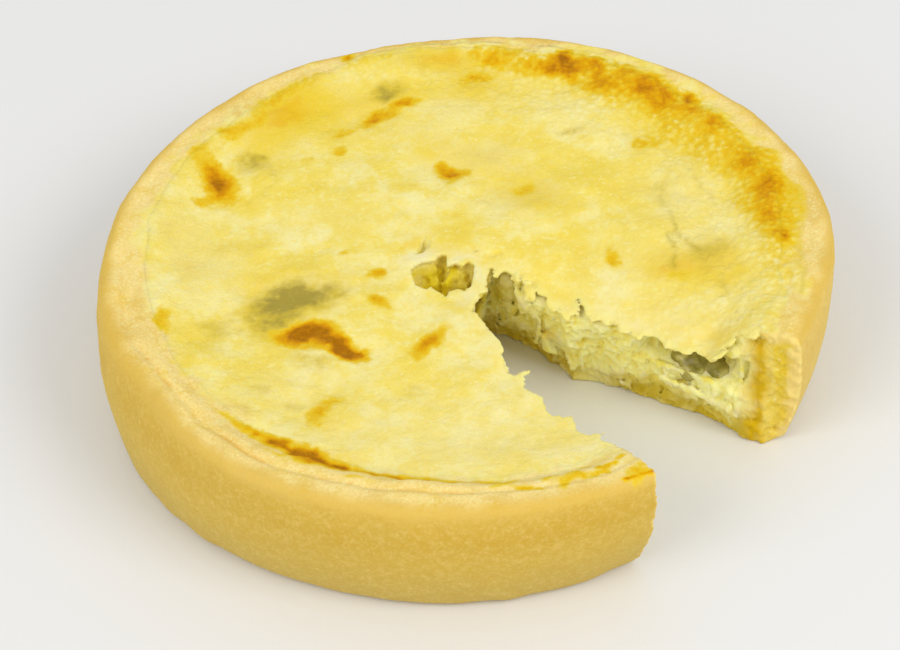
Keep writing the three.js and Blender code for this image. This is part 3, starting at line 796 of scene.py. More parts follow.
BROWNED = (
    (-41, 24.6, 5.4, 2.5, -68, 1.12), (-43, 19.5, 2, 1.5, 0, 0.35), (-26.2, -14.8, 3.8, 2, 5, 2),
    (-19.7, -18.4, 3.3, 1.5, -53, 1.9), (-0.9, 23.4, 2.6, 2, -10, 0.85), (-2.4, 25.6, 1.5, 1.6, 0, 0.4),
    (10.7, 18.5, 2.6, 2.2, 10, 0.42), (4.5, 15.5, 4.5, 1.8, -20, 0.2), (4.3, 48.8, 3.4, 1.6, 0, 0.5),
    (21.2, 30.3, 2.6, 1.8, -30, 0.24), (25.9, 44.1, 3, 2.2, -20, 0.5), (32.7, 41.6, 3, 2.6, -40, 0.6),
    (35.5, 36.5, 2.6, 2.2, -40, 0.5), (41.1, 37.5, 1.6, 1.3, -40, 0.6), (44.8, 29.8, 2.4, 2, -50, 0.4),
    (48.6, 19.3, 2.4, 2.4, -60, 0.36), (51.2, 11.7, 2.2, 3, 0, 0.46), (51.2, -0.6, 1.5, 1.9, 0, 0.6),
    (50, 5.3, 1.8, 3, 0, 0.4), (-6.4, -18.3, 3.9, 1.6, 56, 0.78), (-17.8, 55.6, 1.6, 1.6, 80, 0.8),
    (-13.6, 40.2, 3, 1.8, 20, 0.75), (-20, 36.6, 3.4, 1.4, 15, 0.45), (-20.3, 31.6, 1.7, 1.4, 0, 0.5),
    (-18.8, 4.2, 1.6, 1.1, 0, 0.5), (-14.2, -1.1, 1.8, 1.2, 0, 0.62), (-14.2, -8.3, 2.1, 1.7, 0, 0.62),
    (-48.5, -10.7, 3.6, 1.3, -70, 0.5), (-24.2, -33.4, 3, 1.9, 60, 0.52), (23.8, -0.2, 2.6, 1.3, 80, 0.55),
    (31.5, 28.4, 2.2, 1.6, 0, 0.42), (34.5, -6.1, 2.4, 1.5, 0, 0.35), (19.8, 51.9, 2.3, 1.7, 0, 1.15),
    (-35.3, 38.9, 5, 1.6, 47, 0.46), (-29.5, 46.4, 6, 1.5, 36, 0.46), (-44.5, 31.5, 3, 1.3, 50, 0.28),
    (-25.5, 29.4, 1.7, 1.7, 0, 0.3), (-21.5, -31, 2, 3, 0, 0.25), (-8.2, 42.6, 2.4, 1.6, 10, 0.75),
    (-39.2, 36.2, 2.2, 1.3, 50, 0.4), (23.2, -52.8, 2.4, 1.3, 20, 0.5), (2.5, -53.6, 1.8, 0.8, 0, 0.5),
    (6.2, -54.6, 1.6, 0.8, -10, 0.52), (8.8, -55.4, 0.8, 0.9, 0, 0.5), (11.6, -54.3, 1, 1.2, 20, 0.58),
    (13.8, -53.2, 1.8, 0.9, -20, 0.5), (10.4, -52.2, 1.6, 0.6, 30, 0.34), (17.2, -52.6, 1.6, 0.7, 35, 0.58),
    (18.6, -50.6, 1.8, 0.6, 35, 0.52), (20.6, -48.8, 1.6, 0.5, 40, 0.46), (15.2, -50.4, 1.8, 0.5, 25, 0.42),
    (-30, -44.5, 3, 0.8, -38, 0.35), (-18, -50, 3.5, 0.8, -22, 0.35),
)
YELLOWED = (
    (-1.5, 53.8, 8, 3, -12, 1), (5, 47, 4, 3, 0, 0.45), (8, 25, 9, 6, -30, 0.25), (-2, 28, 8, 6, 0, 0.35),
    (14, 14, 7, 5, -25, 0.4), (-25, 42, 10, 5, 40, 0.5), (-33, 42, 11, 3, 42, 0.5),
    (-32, 33, 6, 5, 0, 0.35), (-9, 12, 9, 4, -20, 0.25), (31, 33, 8, 4, -35, 0.3), (40, 20, 4, 9, 0, 0.35),
    (43, -4, 3.5, 7, 0, 0.42), (34, -4.5, 6, 3, -10, 0.62), (38, -1.5, 6, 4.5, -20, 0.5),
    (30, -2, 6, 4, 0, 0.3), (39, -9, 4, 3, -30, 0.4), (40, -20, 5, 2, -30, 0.4),
    (46.5, -16, 3, 3.5, 0, 0.35), (-9, -24, 8, 6, 20, 0.3), (-33, -1, 7, 3, 20, 0.6),
    (-20, -2, 8, 3, -15, 0.45), (-23, -36, 5, 3.5, -50, 0.5), (-46, -14, 3, 5, 0, 0.4),
    (-38, -31, 8, 2.2, -47, 0.4), (-44.5, 4, 2.2, 14, 0, 0.3), (4, -34, 4, 2, 0, 0.3),
    (6, -46, 8, 3, 0, 0.3), (19, -47.8, 3, 1.5, 30, 0.5), (14, -50.8, 6, 1.4, 20, 0.45),
    (22.3, -49.6, 1.4, 1.4, 0, 0.5), (-7.6, 5.2, 2.2, 2, 0, 0.55), (-10.4, 4.5, 2, 0.9, 0, 0.55),
    (-48, 12, 2.2, 5, -10, 0.5), (-46, 2, 2, 5, 0, 0.4), (-14, 44, 8, 3.5, 10, 0.5),
    (-30, 41, 7, 3.5, 45, 0.5), (4, 44, 16, 9, 0, 0.34), (8, 28, 13, 8, 0, 0.15), (10, 17, 8, 5, 0, 0.35),
    (-14, 36, 9, 6, 0, 0.3), (4, 8, 8, 4, 0, 0.2),
)
GREENED = (
    (-26.8, -5.8, 6.8, 3.4, 2, 1), (-31, -11, 5.5, 5.5, 0, 0.62), (-24.5, -20.5, 5.5, 3.2, 0, 0.42),
    (-35.3, 29, 3.4, 3.4, 0, 0.5), (-34, 31, 2, 1.4, 0, 0.35), (-11.4, 45.9, 3.4, 1.9, 8, 0.75),
    (19.9, 32.8, 3.8, 1.3, 5, 0.5), (34.3, 15.5, 4.5, 6.5, 0, 0.3), (39.5, -1.6, 4.6, 3.2, 0, 0.55),
    (-33.1, -27.6, 2.4, 2.4, 0, 0.35), (-27.5, -31.3, 2.4, 1.5, 0, 0.5), (-9.6, -29.4, 3.5, 2.2, 0, 0.33),
    (-35.8, -33, 3, 1.3, -40, 0.35), (-40.7, -12.2, 2.8, 3.2, 0, 0.42), (-43.5, -3, 2, 3, 0, 0.2),
    (6, 50, 3, 1.5, 0, 0.35),
)
PALED = (
    (-7.2, 2.2, 3, 1.3, 18, 0.9), (-1.2, 1, 2.2, 1.2, 0, 0.85), (2.2, -3.4, 1, 3.4, 8, 0.9),
    (0, -8.9, 1.5, 2.4, -30, 0.8), (8.2, -3, 1.6, 0.9, -20, 0.5), (15.2, -9, 1.8, 1.2, -30, 0.4),
    (25.6, -14.6, 1.8, 1.4, -30, 0.5), (16, -44.5, 5, 1.2, 18, 0.5), (13, -51, 6, 1.6, 18, 0.35),
    (20.5, -49.3, 3, 1.6, 30, 0.4), (-2, -42, 22, 9, 0, 0.34), (-26, -28, 7, 6, 0, 0.25),
    (37, 14, 8, 12, 0, 0.22), (24, -4, 7, 6, 0, 0.25), (33, -15, 9, 3.5, -25, 0.3),
    (-46, 10, 5, 14, 0, 0.25), (-40, 2, 5, 5, 0, 0.3), (-22, 14, 9, 5, 0, 0.2),
)
# Creases: the strength and the points of each.
CREASES = (
    (1, ((33, 16.2), (33.9, 14.6), (34, 8.7), (34.9, 5), (34, 3.2), (33.6, -1), (33.3, -3.3))),
    (0.8, ((34.9, 5), (36.4, 1.6), (38.2, -1))),
    (0.4, ((38.6, 19.8), (39.8, 17.3), (40, 15.2), (42, 13.1), (42, 10.9))),
    (0.4, ((46.1, 19.1), (47.8, 14.6), (48.2, 11.4))), (0.3, ((28, 31), (33.5, 28), (37, 23))),
    (0.7, ((55.4, 12), (55.2, 4.9), (54, -2.7), (53.6, -9), (52, -15.5))),
    (0.5, ((40.7, -6.5), (40.7, -9), (41, -12))),
    (0.4, ((-35.3, 19), (-33.3, 20.6), (-31.4, 23.6), (-31, 26.5))),
    (0.6, ((-16.5, 38.6), (-13.6, 39.4), (-10.5, 41.8))), (0.35, ((-24, 36), (-20, 37.6), (-17, 38))),
)
CREASE_HALF_WIDTH = 0.42
# Wet yellow pockets in the torn crumb: x, y, z, size, strength.
WET_POCKETS = (
    (4.3, -3.2, 17.5, 2, 0.7), (12.6, -6.4, 19.5, 1.4, 0.8), (18, -7.6, 19, 1, 0.6),
    (-6.6, -1, 17.5, 2, 0.4), (0.6, -1, 18.5, 1.4, 0.5), (7.2, -3.6, 13, 1.6, 0.5),
    (4.9, 1.9, 20.2, 1.4, 0.6), (2.6, -1.6, 16.5, 1.6, 0.7), (12.5, -5.6, 9, 1.4, 0.5),
    (20.5, -9.2, 14.5, 1.3, 0.6),
)
# The browned ring at the back and right: azimuth, radius, half width, strength.
BROWN_RING = (
    (-40, 51, 1.6, 0), (-20, 51, 1.8, 0.2), (-6, 52, 2, 0.3), (2, 52.3, 1.8, 0.4), (8, 52.4, 2, 0.4),
    (14, 53, 2.6, 0.55), (22, 52.6, 2.2, 0.36), (30, 52.8, 2.6, 0.4), (36, 52.6, 3.2, 0.5),
    (42, 52.8, 3.6, 0.52), (50, 53.2, 4.2, 0.6), (58, 53.6, 4.2, 0.68), (65, 53.6, 3.8, 0.74),
    (72, 53.8, 3.2, 0.76), (80, 53.6, 3.2, 0.5), (92, 56, 2, 0.12), (104, 56, 1.8, 0.2),
    (125, 54.6, 1.8, 0.3), (140, 52.5, 1.6, 0.25), (160, 51, 1.4, 0),
)
# The browned line where the custard meets the front of the rim: x, y, half width, strength.
BROWN_LINE = (
    (-44, -28, 0.9, 0), (-36.5, -35.8, 1, 0.4), (-33.5, -38.4, 1.2, 0.7), (-30, -40.9, 1.4, 0.8),
    (-26.3, -43.3, 2.3, 1.05), (-23.6, -45, 2.1, 1), (-19.5, -46.9, 1.4, 0.8), (-15, -48.6, 1.1, 0.65),
    (-9.5, -50.2, 1.3, 0.55), (-4.5, -51.2, 1, 0.5), (0, -51.8, 0.9, 0.4), (4, -52.3, 1.2, 0.34),
    (8, -52.6, 1, 0.2), (13, -52, 1.1, 0.16), (18, -50.4, 0.9, 0),
)
# The browned edge of the corner at the left end of the cut: x, y, half width, strength.
CORNER_LINE = ((20.8, -54.3, 0.4, 0.9), (23.2, -53.4, 0.3, 0.6), (25.2, -52.8, 0.4, 0.9))


def marks(table, plan):
    """How strongly the marks of a table show, with uneven outlines."""
    x = plan.grain((0.7, 3.2, 91), (0.5, 1.3, 92), on=plan.x)
    y = plan.grain((0.7, 3.2, 93), (0.5, 1.3, 94), on=plan.y)
    return sum(strength * spot(x, y, *mark) for *mark, strength in table)


def along_line(table, x, y):
    """Strength of a browned line that runs from point to point."""
    best = np.zeros_like(x)
    for start, end in zip(table, table[1:]):
        run = np.subtract(end[:2], start[:2])
        share = ((x - start[0]) * run[0] + (y - start[1]) * run[1]) / np.dot(run, run)
        share = np.clip(share, 0.0, 1.0)
        away = np.hypot(x - start[0] - share * run[0], y - start[1] - share * run[1])
        half_width = blend(start[2], end[2], share)
        best = np.maximum(best, blend(start[3], end[3], share) * bump(away, half_width))
    return best


def ring_strength(plan):
    """Strength of the browned ring at the back and right."""
    azimuth = np.degrees(plan.azimuth)
    at, radius, half_width, strength = np.array(BROWN_RING).T
    away = plan.radius - np.interp(azimuth, at, radius)
    return np.interp(azimuth, at, strength) * bump(away, np.interp(azimuth, at, half_width))


def golden_zone(plan):
    """The broad golden border at the back and right, which fades out inwards."""
    radius = plan.grain((1.5, 5.0, 77), on=plan.radius)
    to_right = bump(np.degrees(plan.azimuth) - 26.0, 52.0)
    return to_right * ease(radius, 40.0, 51.0) * (1.0 - ease(radius, 54.5, 58.0))


def browning(plan):
    """How browned the top is: spots, the ring at the back and the line at the front."""
    mottled = plan.grain((0.45, 2.6, 71), (0.25, 1.1, 73), on=0.95)
    ring = np.minimum(0.95 * ring_strength(plan) * mottled, 0.88)
    line = 1.02 * along_line(BROWN_LINE, plan.x, plan.y) * plan.grain((0.4, 1.1, 75), on=0.95)
    corner = along_line(CORNER_LINE, plan.x, plan.y)
    spots = marks(BROWNED, plan) + 0.36 * golden_zone(plan)
    return np.maximum(np.maximum(spots, ring), np.maximum(line, corner))


def creasing(plan):
    """Fine creases and hairline cracks in the baked top."""
    wandering = plan.grain((0.5, 2.0, 78))
    total = np.zeros_like(plan.x)
    for strength, points in CREASES:
        line = [(*point, CREASE_HALF_WIDTH, strength) for point in points]
        total = np.maximum(total, along_line(line, plan.x + wandering, plan.y - wandering))
    return total * plan.grain((0.3, 3.0, 79), on=0.9)


# ---- Materials ----


def colour(red, green, blue):
    """A colour as seen on a screen (0 to 255), turned into the light that Blender works in."""
    parts = []
    for part in (red, green, blue):
        value = part / 255.0
        parts.append(value / 12.92 if value <= 0.04045 else ((value + 0.055) / 1.055) ** 2.4)
    return (*parts, 1.0)


class Shader:
    """A material in the making: each method adds nodes and gives back their output."""

    def __init__(self, name):
        self.material = bpy.data.materials.new(name)
        self.material.use_nodes = True
        self.tree = self.material.node_tree
        self.tree.nodes.clear()
        self.place = self.node("ShaderNodeTexCoord").outputs["Object"]

    def node(self, kind, inputs=(), **settings):
        """Adds a node with its settings, and feeds its inputs with values or other nodes' outputs."""
        made = self.tree.nodes.new(kind)
        for name, value in settings.items():
            setattr(made, name, value)
        for name, value in dict(inputs).items():
            if isinstance(value, bpy.types.NodeSocket):
                self.tree.links.new(value, made.inputs[name])
            else:
                made.inputs[name].default_value = value
        return made

    def share(self, name):
        return self.node("ShaderNodeAttribute", attribute_name=name).outputs["Fac"]

    def steps(self, size, stretch=(1.0, 1.0, 1.0)):
        """The place of a point, counted in steps of so many millimetres."""
        scale = [1.0 / (MM * size * along) for along in stretch]
        return self.node("ShaderNodeMapping", {"Vector": self.place, "Scale": scale}).outputs["Vector"]

    def noise(self, size, detail=3.0, roughness=0.55, distortion=0.0, stretch=(1.0, 1.0, 1.0)):
        """Noise with lumps of about size millimetres, between 0 and 1."""
        inputs = {"Vector": self.steps(size, stretch), "Scale": 1.0, "Detail": detail}
        inputs.update({"Roughness": roughness, "Distortion": distortion})
        return self.node("ShaderNodeTexNoise", inputs).outputs["Fac"]

    def math(self, operation, first, second):
        return self.node("ShaderNodeMath", {0: first, 1: second}, operation=operation).outputs[0]

    def times(self, value, factor):
        return self.math("MULTIPLY", value, factor)

    def uneven(self, value, noise, amount):
        """A value with so much of a noise on it, down as well as up."""
        return self.math("ADD", value, self.times(self.math("SUBTRACT", noise, 0.5), amount))

    def remap(self, value, low, high, to_low=0.0, to_high=1.0):
        inputs = {"Value": value, "From Min": low, "From Max": high, "To Min": to_low, "To Max": to_high}
        return self.node("ShaderNodeMapRange", inputs, interpolation_type="SMOOTHSTEP").outputs["Result"]

    def mix(self, share, first, second):
        return self.node("ShaderNodeMix", {"Factor": share, 6: first, 7: second}, data_type="RGBA").outputs[2]

    def layers(self, base, *layers):
        """Lays tones over a colour: how far each covers it goes from one share to another."""
        for value, low, high, to_low, to_high, tone in layers:
            base = self.mix(self.remap(value, low, high, to_low, to_high), base, tone)
        return base

    def ramp(self, value, *stops):
        made = self.node("ShaderNodeValToRGB", {"Fac": value})
        steps = made.color_ramp.elements
        steps[0].position, steps[0].color = stops[0]
        steps[1].position, steps[1].color = stops[-1]
        for position, tone in stops[1:-1]:
            steps.new(position).color = tone
        return made.outputs["Color"]

    def bumps(self, *layers):
        """Bumps on bumps: the height, strength and depth in millimetres of each."""
        under = {}
        for height, strength, depth in layers:
            inputs = {"Height": height, "Strength": strength, "Distance": depth * MM, **under}
            under = {"Normal": self.node("ShaderNodeBump", inputs).outputs["Normal"]}
        return under["Normal"]

    def finish(self, base, roughness, normal, shine, scattering=0.0, colours=(1.0, 1.0, 1.0), depth=0.0):
        """The material: how strongly it mirrors, and how light scatters in it, over what depth."""
        inputs = {"Base Color": base, "Roughness": roughness, "Normal": normal, "Specular IOR Level": shine}
        if scattering:
            inputs.update({"Subsurface Weight": scattering, "Subsurface Radius": colours})
            inputs["Subsurface Scale"] = depth * MM
        surface = self.node("ShaderNodeBsdfPrincipled", inputs)
        self.node("ShaderNodeOutputMaterial", {"Surface": surface.outputs["BSDF"]})
        return self.material


CREAM = colour(245, 230, 144)
SKIN = colour(243, 222, 108)
YELLOW = colour(240, 215, 86)
DEEP_YELLOW = colour(234, 203, 50)
GOLD = colour(230, 180, 4)
ORANGE = colour(212, 146, 2)
BROWN = colour(168, 108, 2)
DARK_BROWN = colour(130, 82, 3)
GREY_GREEN = colour(166, 148, 62)
OLIVE_YELLOW = colour(206, 180, 48)
CREASE = colour(184, 162, 12)
CRUMB_PALE = colour(253, 246, 170)
CRUMB_MID = colour(250, 236, 130)
CRUMB_OLIVE = colour(232, 210, 54)
# Painted shade for the hollows of the torn crumb.
PAINTED_SHADE_CRUMB = colour(188, 160, 20)
HOLE_YELLOW = colour(230, 208, 44)
PAINTED_VOID_SHADE = colour(110, 84, 6)
WHITISH = colour(242, 233, 178)
PALE_CREAM = colour(247, 237, 168)
PASTRY_PALE = colour(245, 219, 138)
PASTRY_RIM = colour(238, 206, 106)
PASTRY_EDGE = colour(222, 184, 78)
PASTRY_WALL = colour(214, 180, 80)
PASTRY_GOLD = colour(208, 164, 46)
PASTRY_LOW = colour(206, 178, 90)
PASTRY_ORANGE = colour(230, 172, 36)
PASTRY_CRUMB = colour(234, 204, 66)
CRUMB_GOLD = colour(222, 186, 34)
SOAKED_GOLD = colour(216, 177, 5)
SOAKED_OLIVE = colour(206, 180, 42)


def browned_over(shader, under, browned, beads):
    """Lays the browning over a colour: yellow first, then gold, orange and brown."""
    # Painted shade: the browning deepens a little between the blisters.
    between = shader.math("SUBTRACT", shader.times(shader.share("beaded"), 0.35), beads)
    uneven = shader.uneven(browned, shader.noise(0.9, roughness=0.65), 0.5)
    uneven = shader.math("ADD", uneven, shader.times(between, 0.12))
    uneven = shader.times(uneven, shader.remap(browned, 0.0, 0.3))
    steps = (
        (0.02, 0.4, DEEP_YELLOW),
        (0.24, 0.6, GOLD),
        (0.46, 0.82, ORANGE),
        (0.72, 1.08, BROWN),
        (1.08, 1.45, DARK_BROWN),
    )
    return shader.layers(under, *((uneven, low, high, 0.0, 1.0, tone) for low, high, tone in steps))


def beads_of(shader):
    """Small soft blisters, 1 at the top of each, where the top is beaded."""
    inputs = {"Vector": shader.steps(1.5), "Scale": 1.0, "Smoothness": 0.5}
    cells = shader.node("ShaderNodeTexVoronoi", inputs, feature="SMOOTH_F1", voronoi_dimensions="2D")
    distance = shader.uneven(cells.outputs["Distance"], shader.noise(1.4, 2.0, 0.5), 0.8)
    return shader.times(shader.remap(distance, 0.54, 0.1), shader.share("beaded"))


def baked_top(shader, beads):
    """The colour of the baked top: custard skin, the pale rim, and all the marks on them."""
    share = shader.share
    patches = shader.noise(12.0, roughness=0.45, distortion=0.4)
    small = shader.noise(2.8, roughness=0.5, distortion=0.3)
    flecks = shader.noise(0.7, 2.0, 0.5)
    sand = shader.noise(0.42, 2.0, 0.5)
    streaks = shader.noise(1.6, roughness=0.5, distortion=0.3)
    tone = shader.math("ADD", shader.times(patches, 0.62), shader.times(small, 0.38))
    skin = shader.layers(
        shader.ramp(tone, (0.36, YELLOW), (0.46, SKIN), (0.55, CREAM), (0.68, PALE_CREAM)),
        (flecks, 0.56, 0.74, 0.0, 0.55, PALE_CREAM),
        (flecks, 0.28, 0.46, 0.4, 0.0, YELLOW),
    )
    # Painted shade and light on the blisters: deeper yellow between them and paler at their tops.
    between = shader.math("SUBTRACT", share("beaded"), beads)
    skin = shader.mix(shader.times(between, 0.3), skin, YELLOW)
    skin = shader.mix(shader.times(beads, 0.12), skin, PALE_CREAM)
    rim = shader.layers(
        shader.ramp(small, (0.3, PASTRY_RIM), (0.5, PASTRY_PALE), (0.7, PASTRY_PALE)),
        (patches, 0.52, 0.72, 0.0, 0.35, PASTRY_GOLD),
        (sand, 0.52, 0.72, 0.0, 0.6, PALE_CREAM),
        (sand, 0.3, 0.5, 0.35, 0.0, PASTRY_EDGE),
        (shader.uneven(share("grooved"), small, 0.8), 0.3, 1.0, 0.0, 0.5, PASTRY_ORANGE),
    )
    # Painted shade on the rim's outer rounding.
    rim = shader.mix(share("outermost"), rim, PASTRY_EDGE)
    rimmed = shader.uneven(share("rimmed"), small, 0.5)
    yellowed = shader.math("ADD", share("yellowed"), shader.times(small, 0.4))
    greened = shader.times(share("greened"), shader.remap(streaks, 0.2, 0.8, 0.75, 1.3))
    top = shader.layers(
        shader.mix(shader.remap(rimmed, 0.1, 0.9), skin, rim),
        (yellowed, 0.34, 1.0, 0.0, 0.75, DEEP_YELLOW),
        (yellowed, 0.95, 1.35, 0.0, 0.8, GOLD),
        (greened, 0.1, 0.6, 0.0, 0.7, OLIVE_YELLOW),
        (greened, 0.4, 1.0, 0.0, 0.9, GREY_GREEN),
    )
    top = shader.mix(shader.times(share("creased"), 0.65), top, CREASE)
    top = shader.mix(share("paled"), top, WHITISH)
    return browned_over(shader, top, share("browned"), beads)


def torn_crumb(shader):
    """The colour of the torn crumb, the same on the custard and on the soaked foot of the case."""
    fibre = shader.noise(0.8, 4.0, 0.65, 0.8, stretch=(1.0, 1.0, 2.2))
    # Painted shade and light: the crumb is darker olive in its recesses and paler where it stands out, with
    # fibre noise for its own tones.
    ridge = shader.uneven(shader.share("ridge"), fibre, 0.7)
    crumb = shader.ramp(ridge, (0.0, CRUMB_OLIVE), (0.34, CRUMB_MID), (0.62, CRUMB_PALE), (0.95, WHITISH))
    # Of these tones, shaded and void are painted shade, and whitened is partly painted light on the raised
    # crumb and partly pale flecks.
    tones = {"olive": SOAKED_OLIVE, "soaked": SOAKED_GOLD, "holed": HOLE_YELLOW}
    tones.update({"shaded": PAINTED_SHADE_CRUMB, "void": PAINTED_VOID_SHADE, "whitened": WHITISH})
    for name, tone in tones.items():
        crumb = shader.mix(shader.share(name), crumb, tone)
    return crumb


def custard_material():
    shader = Shader("baked custard")
    beads = beads_of(shader)
    skin = baked_top(shader, beads)
    skin = shader.mix(shader.times(shader.share("thin"), 0.6), skin, CREAM)
    base = shader.mix(shader.share("torn"), skin, torn_crumb(shader))
    folds = shader.noise(3.0, roughness=0.5, distortion=0.7)
    wrinkles = shader.noise(1.2, distortion=1.2)
    normal = shader.bumps(
        (folds, 0.42, 0.45),
        (wrinkles, 0.3, 0.25),
        (beads, 0.4, 0.25),
        (shader.share("creased"), 0.12, -0.3),
        (shader.noise(0.5, 2.0, 0.6), 0.7, 0.2),
    )
    roughness = shader.remap(shader.noise(2.4, 1.0, 0.6), 0.35, 0.65, 0.32, 0.56)
    return shader.finish(base, roughness, normal, 0.08, 0.45, (1.0, 0.88, 0.36), 1.6)


def pastry_material():
    shader = Shader("short pastry")
    share = shader.share
    grain = shader.noise(0.5, 2.0, 0.5)
    mottled = shader.noise(1.3, roughness=0.6)
    toasted = shader.uneven(share("toasted"), shader.noise(8.0, 2.0, 0.5), 0.9)
    # Painted light and shade: the wall grows paler towards the rim and a little darker towards its foot.
    wall = shader.mix(share("low"), PASTRY_WALL, PASTRY_LOW)
    wall = shader.layers(wall, (toasted, 0.1, 1.0, 0.0, 0.8, PASTRY_GOLD))
    wall = shader.mix(shader.times(share("high"), 0.8), wall, PASTRY_EDGE)
    wall = shader.layers(
        # Painted light: the wall is paler on its side towards the right.
        shader.mix(share("less_baked"), wall, PASTRY_PALE),
        (mottled, 0.46, 0.74, 0.0, 0.22, PASTRY_PALE),
        (mottled, 0.28, 0.54, 0.24, 0.0, PASTRY_GOLD),
        (grain, 0.5, 0.7, 0.0, 0.2, PASTRY_PALE),
        (grain, 0.3, 0.5, 0.16, 0.0, PASTRY_GOLD),
    )
    beads = beads_of(shader)
    surface = shader.mix(share("walled"), baked_top(shader, beads), wall)
    loose = shader.noise(0.7, 4.0, 0.65)
    tones = ((0.3, CRUMB_GOLD), (0.46, PASTRY_CRUMB), (0.56, PASTRY_CRUMB), (0.72, PALE_CREAM))
    crumbs = shader.mix(shader.times(share("crusty"), 0.85), shader.ramp(loose, *tones), PASTRY_PALE)
    inside = shader.mix(share("firm"), torn_crumb(shader), crumbs)
    base = shader.mix(share("torn"), surface, inside)
    normal = shader.bumps(
        (shader.noise(3.5, 2.0), 0.3, 0.35),
        (beads, 0.4, 0.25),
        (share("creased"), 0.12, -0.3),
        (grain, 0.5, 0.25),
    )
    roughness = shader.remap(mottled, 0.3, 0.7, 0.5, 0.68)
    return shader.finish(base, roughness, normal, 0.06, 0.2, (1.0, 0.7, 0.35), 0.9)


def vegetable_material(name, *tones):
    """Soft vegetable, from its dark tone over its middle one to its light one."""
    shader = Shader(name)
    dark, middle, light = (colour(*tone) for tone in tones)
    patches = shader.noise(2.6, roughness=0.5, distortion=0.6)
    fine = shader.noise(0.7)
    base = shader.ramp(patches, (0.34, dark), (0.5, middle), (0.68, light))
    base = shader.layers(base, (fine, 0.55, 0.75, 0.0, 0.3, light))
    normal = shader.bumps((patches, 0.2, 0.3), (fine, 0.2, 0.1))
    roughness = shader.remap(fine, 0.3, 0.7, 0.16, 0.32)
    return shader.finish(base, roughness, normal, 0.3, 0.5, (0.8, 1.0, 0.5), 1.6)


# ---- Pieces ----


def give_top_shares(made, plan):
    """The shares of the baked top, the same on the custard and on the rim, so that they run together."""
    beyond, outer = plan.beyond, plan.rim - plan.radius
    drift = plan.grain((2.0, 4.6, 95), (1.4, 1.8, 96), (0.8, 0.9, 97))
    outward = 1.9 * plan.toward(22.0, 0.35, 0.95) + 2.6 * plan.toward(-65.0, 0.93, 0.995)
    beaded = blend(0.4, 1.0, plan.toward(20.0, -0.5, 0.8)) * ease(plan.custard_radius, 22.0, 44.0)
    from_groove, clear = plan.groove(outer, np.maximum(outer + beyond, 0.5))
    broken = ease(plan.grain((1.0, 5.0, 98), (0.5, 1.5, 99)), -0.5, 0.3)
    give_shares(
        made,
        rimmed=ease(beyond + drift - outward, -3.2, 2.8),
        creased=creasing(plan),
        beaded=beaded * (1.0 - ease(beyond, 1.0, 4.0)),
        browned=browning(plan),
        yellowed=marks(YELLOWED, plan),
        greened=marks(GREENED, plan),
        paled=marks(PALED, plan),
        grooved=bump(from_groove, GROOVE_HALF_WIDTH) * clear * broken,
        # Painted shade on the rim's outer rounding.
        outermost=0.85 * ease(plan.grain((0.5, 3.0, 66), on=outer), 2.8, 0.4),
    )


def give_crumb_shares(made, plan, z):
    """The shares of the torn crumb, the same on the custard and on the foot of the case."""
    along_right, depth = plan.along_right, plan.top - z
    relief = cut_relief(plan, z)
    standing = ease(opening(plan, z, relief), 0.2, 0.7)
    on_strand = plan.grain((0.3, 1.2, 47), z=z, on=0.56)
    # Painted shade: the crumb is darkened in the hollow under the lip of skin, and a little at the tip.
    hollow = bump(along_right - HOLLOW_ALONG, 9.5) * bump(z - HOLLOW_HEIGHT - 0.6, 2.6)
    deep_in = ease(-plan.out_right, 0.8, 3.5)
    at_tip = bump(plan.away((1.0, -10.0)), 3.6) * (1.0 - ease(z, 12.0, 19.0))
    in_hole = ease(plan.in_hole, -3.4, -1.0) * ease(depth, 0.7, 2.0)
    in_hole = np.maximum(in_hole, bump(plan.away(PITS_CENTRE), 3.2) * ease(depth, 0.3, 0.9))
    # Painted shade: the crumb grows darkest round the middle of the hollow that joins the hole to the cut.
    from_dark = from_centre((plan.x, plan.y, z), DARK_CENTRE, DARK_RADII)
    damp = plan.grain((1.3, 2.6, 85), (0.6, 1.1, 87), z=z)
    near_base = 1.0 - ease(z + damp, 1.8, 6.6)
    pale_foot = bump(along_right - 19.0, 4.5) + 0.5 * ease(plan.grain((1.0, 2.4, 89), z=z), 0.2, 0.8)
    by_tip = 0.45 * bump(plan.away((3.0, -6.0)), 7.0) * (1.0 - ease(z, 17.0, 20.0))
    wet = 0.0
    for *at, size, strength in WET_POCKETS:
        wet = wet + strength * bump(from_centre((plan.x, plan.y, z), at), size)
    drift = plan.grain((0.7, 2.4, 83), (0.4, 1.0, 84), z=z)
    firm = np.maximum(ease(along_right + drift, 48.2, 51.4), ease(plan.along_left + drift, 42.5, 44.5))
    by_wall = np.maximum(ease(along_right + drift, 44.4, 48.6), ease(plan.along_left, 38.5, 42.0))
    # Paler on the raised crumb: partly painted light on what stands out, partly random pale flecks.
    bright = ease(plan.grain((1.0, 1.7, 86), z=z) + 0.6 * relief, 0.75, 1.3)
    give_shares(
        made,
        # Painted shade and light from the relief: low in the recesses, high on the raised crumb.
        ridge=blend(0.6 + 0.4 * relief, on_strand, standing),
        # Painted shade in the hollow under the lip and at the tip.
        shaded=0.5 * hollow * deep_in * (along_right > 0.0) + 0.08 * at_tip,
        void=0.85 * (1.0 - ease(from_dark, 0.6, 1.3)),
        olive=0.92 * near_base * (1.0 - 0.7 * pale_foot),
        holed=np.maximum(in_hole * plan.grain((0.4, 1.8, 88), z=z, on=0.85), by_tip),
        soaked=by_wall * (1.0 - firm) + wet,
        whitened=0.7 * bright * (1.0 - 0.8 * by_wall) * (1.0 - 0.8 * in_hole),
        firm=firm,
    )


def hidden_in_custard(x, y, z):
    plan = Plan(x, y)
    return (plan.top - z > 3.0) & (plan.gap < -4.0) & (plan.radius > 16.0)


def hidden_in_pastry(x, y, z):
    plan = Plan(x, y)
    inner = (inside_case(plan, z) > -0.4) & (plan.rim_level - z > 2.5) & (plan.gap < -3.0)
    return inner | ((z < 0.3) & (plan.radius < 52.0))


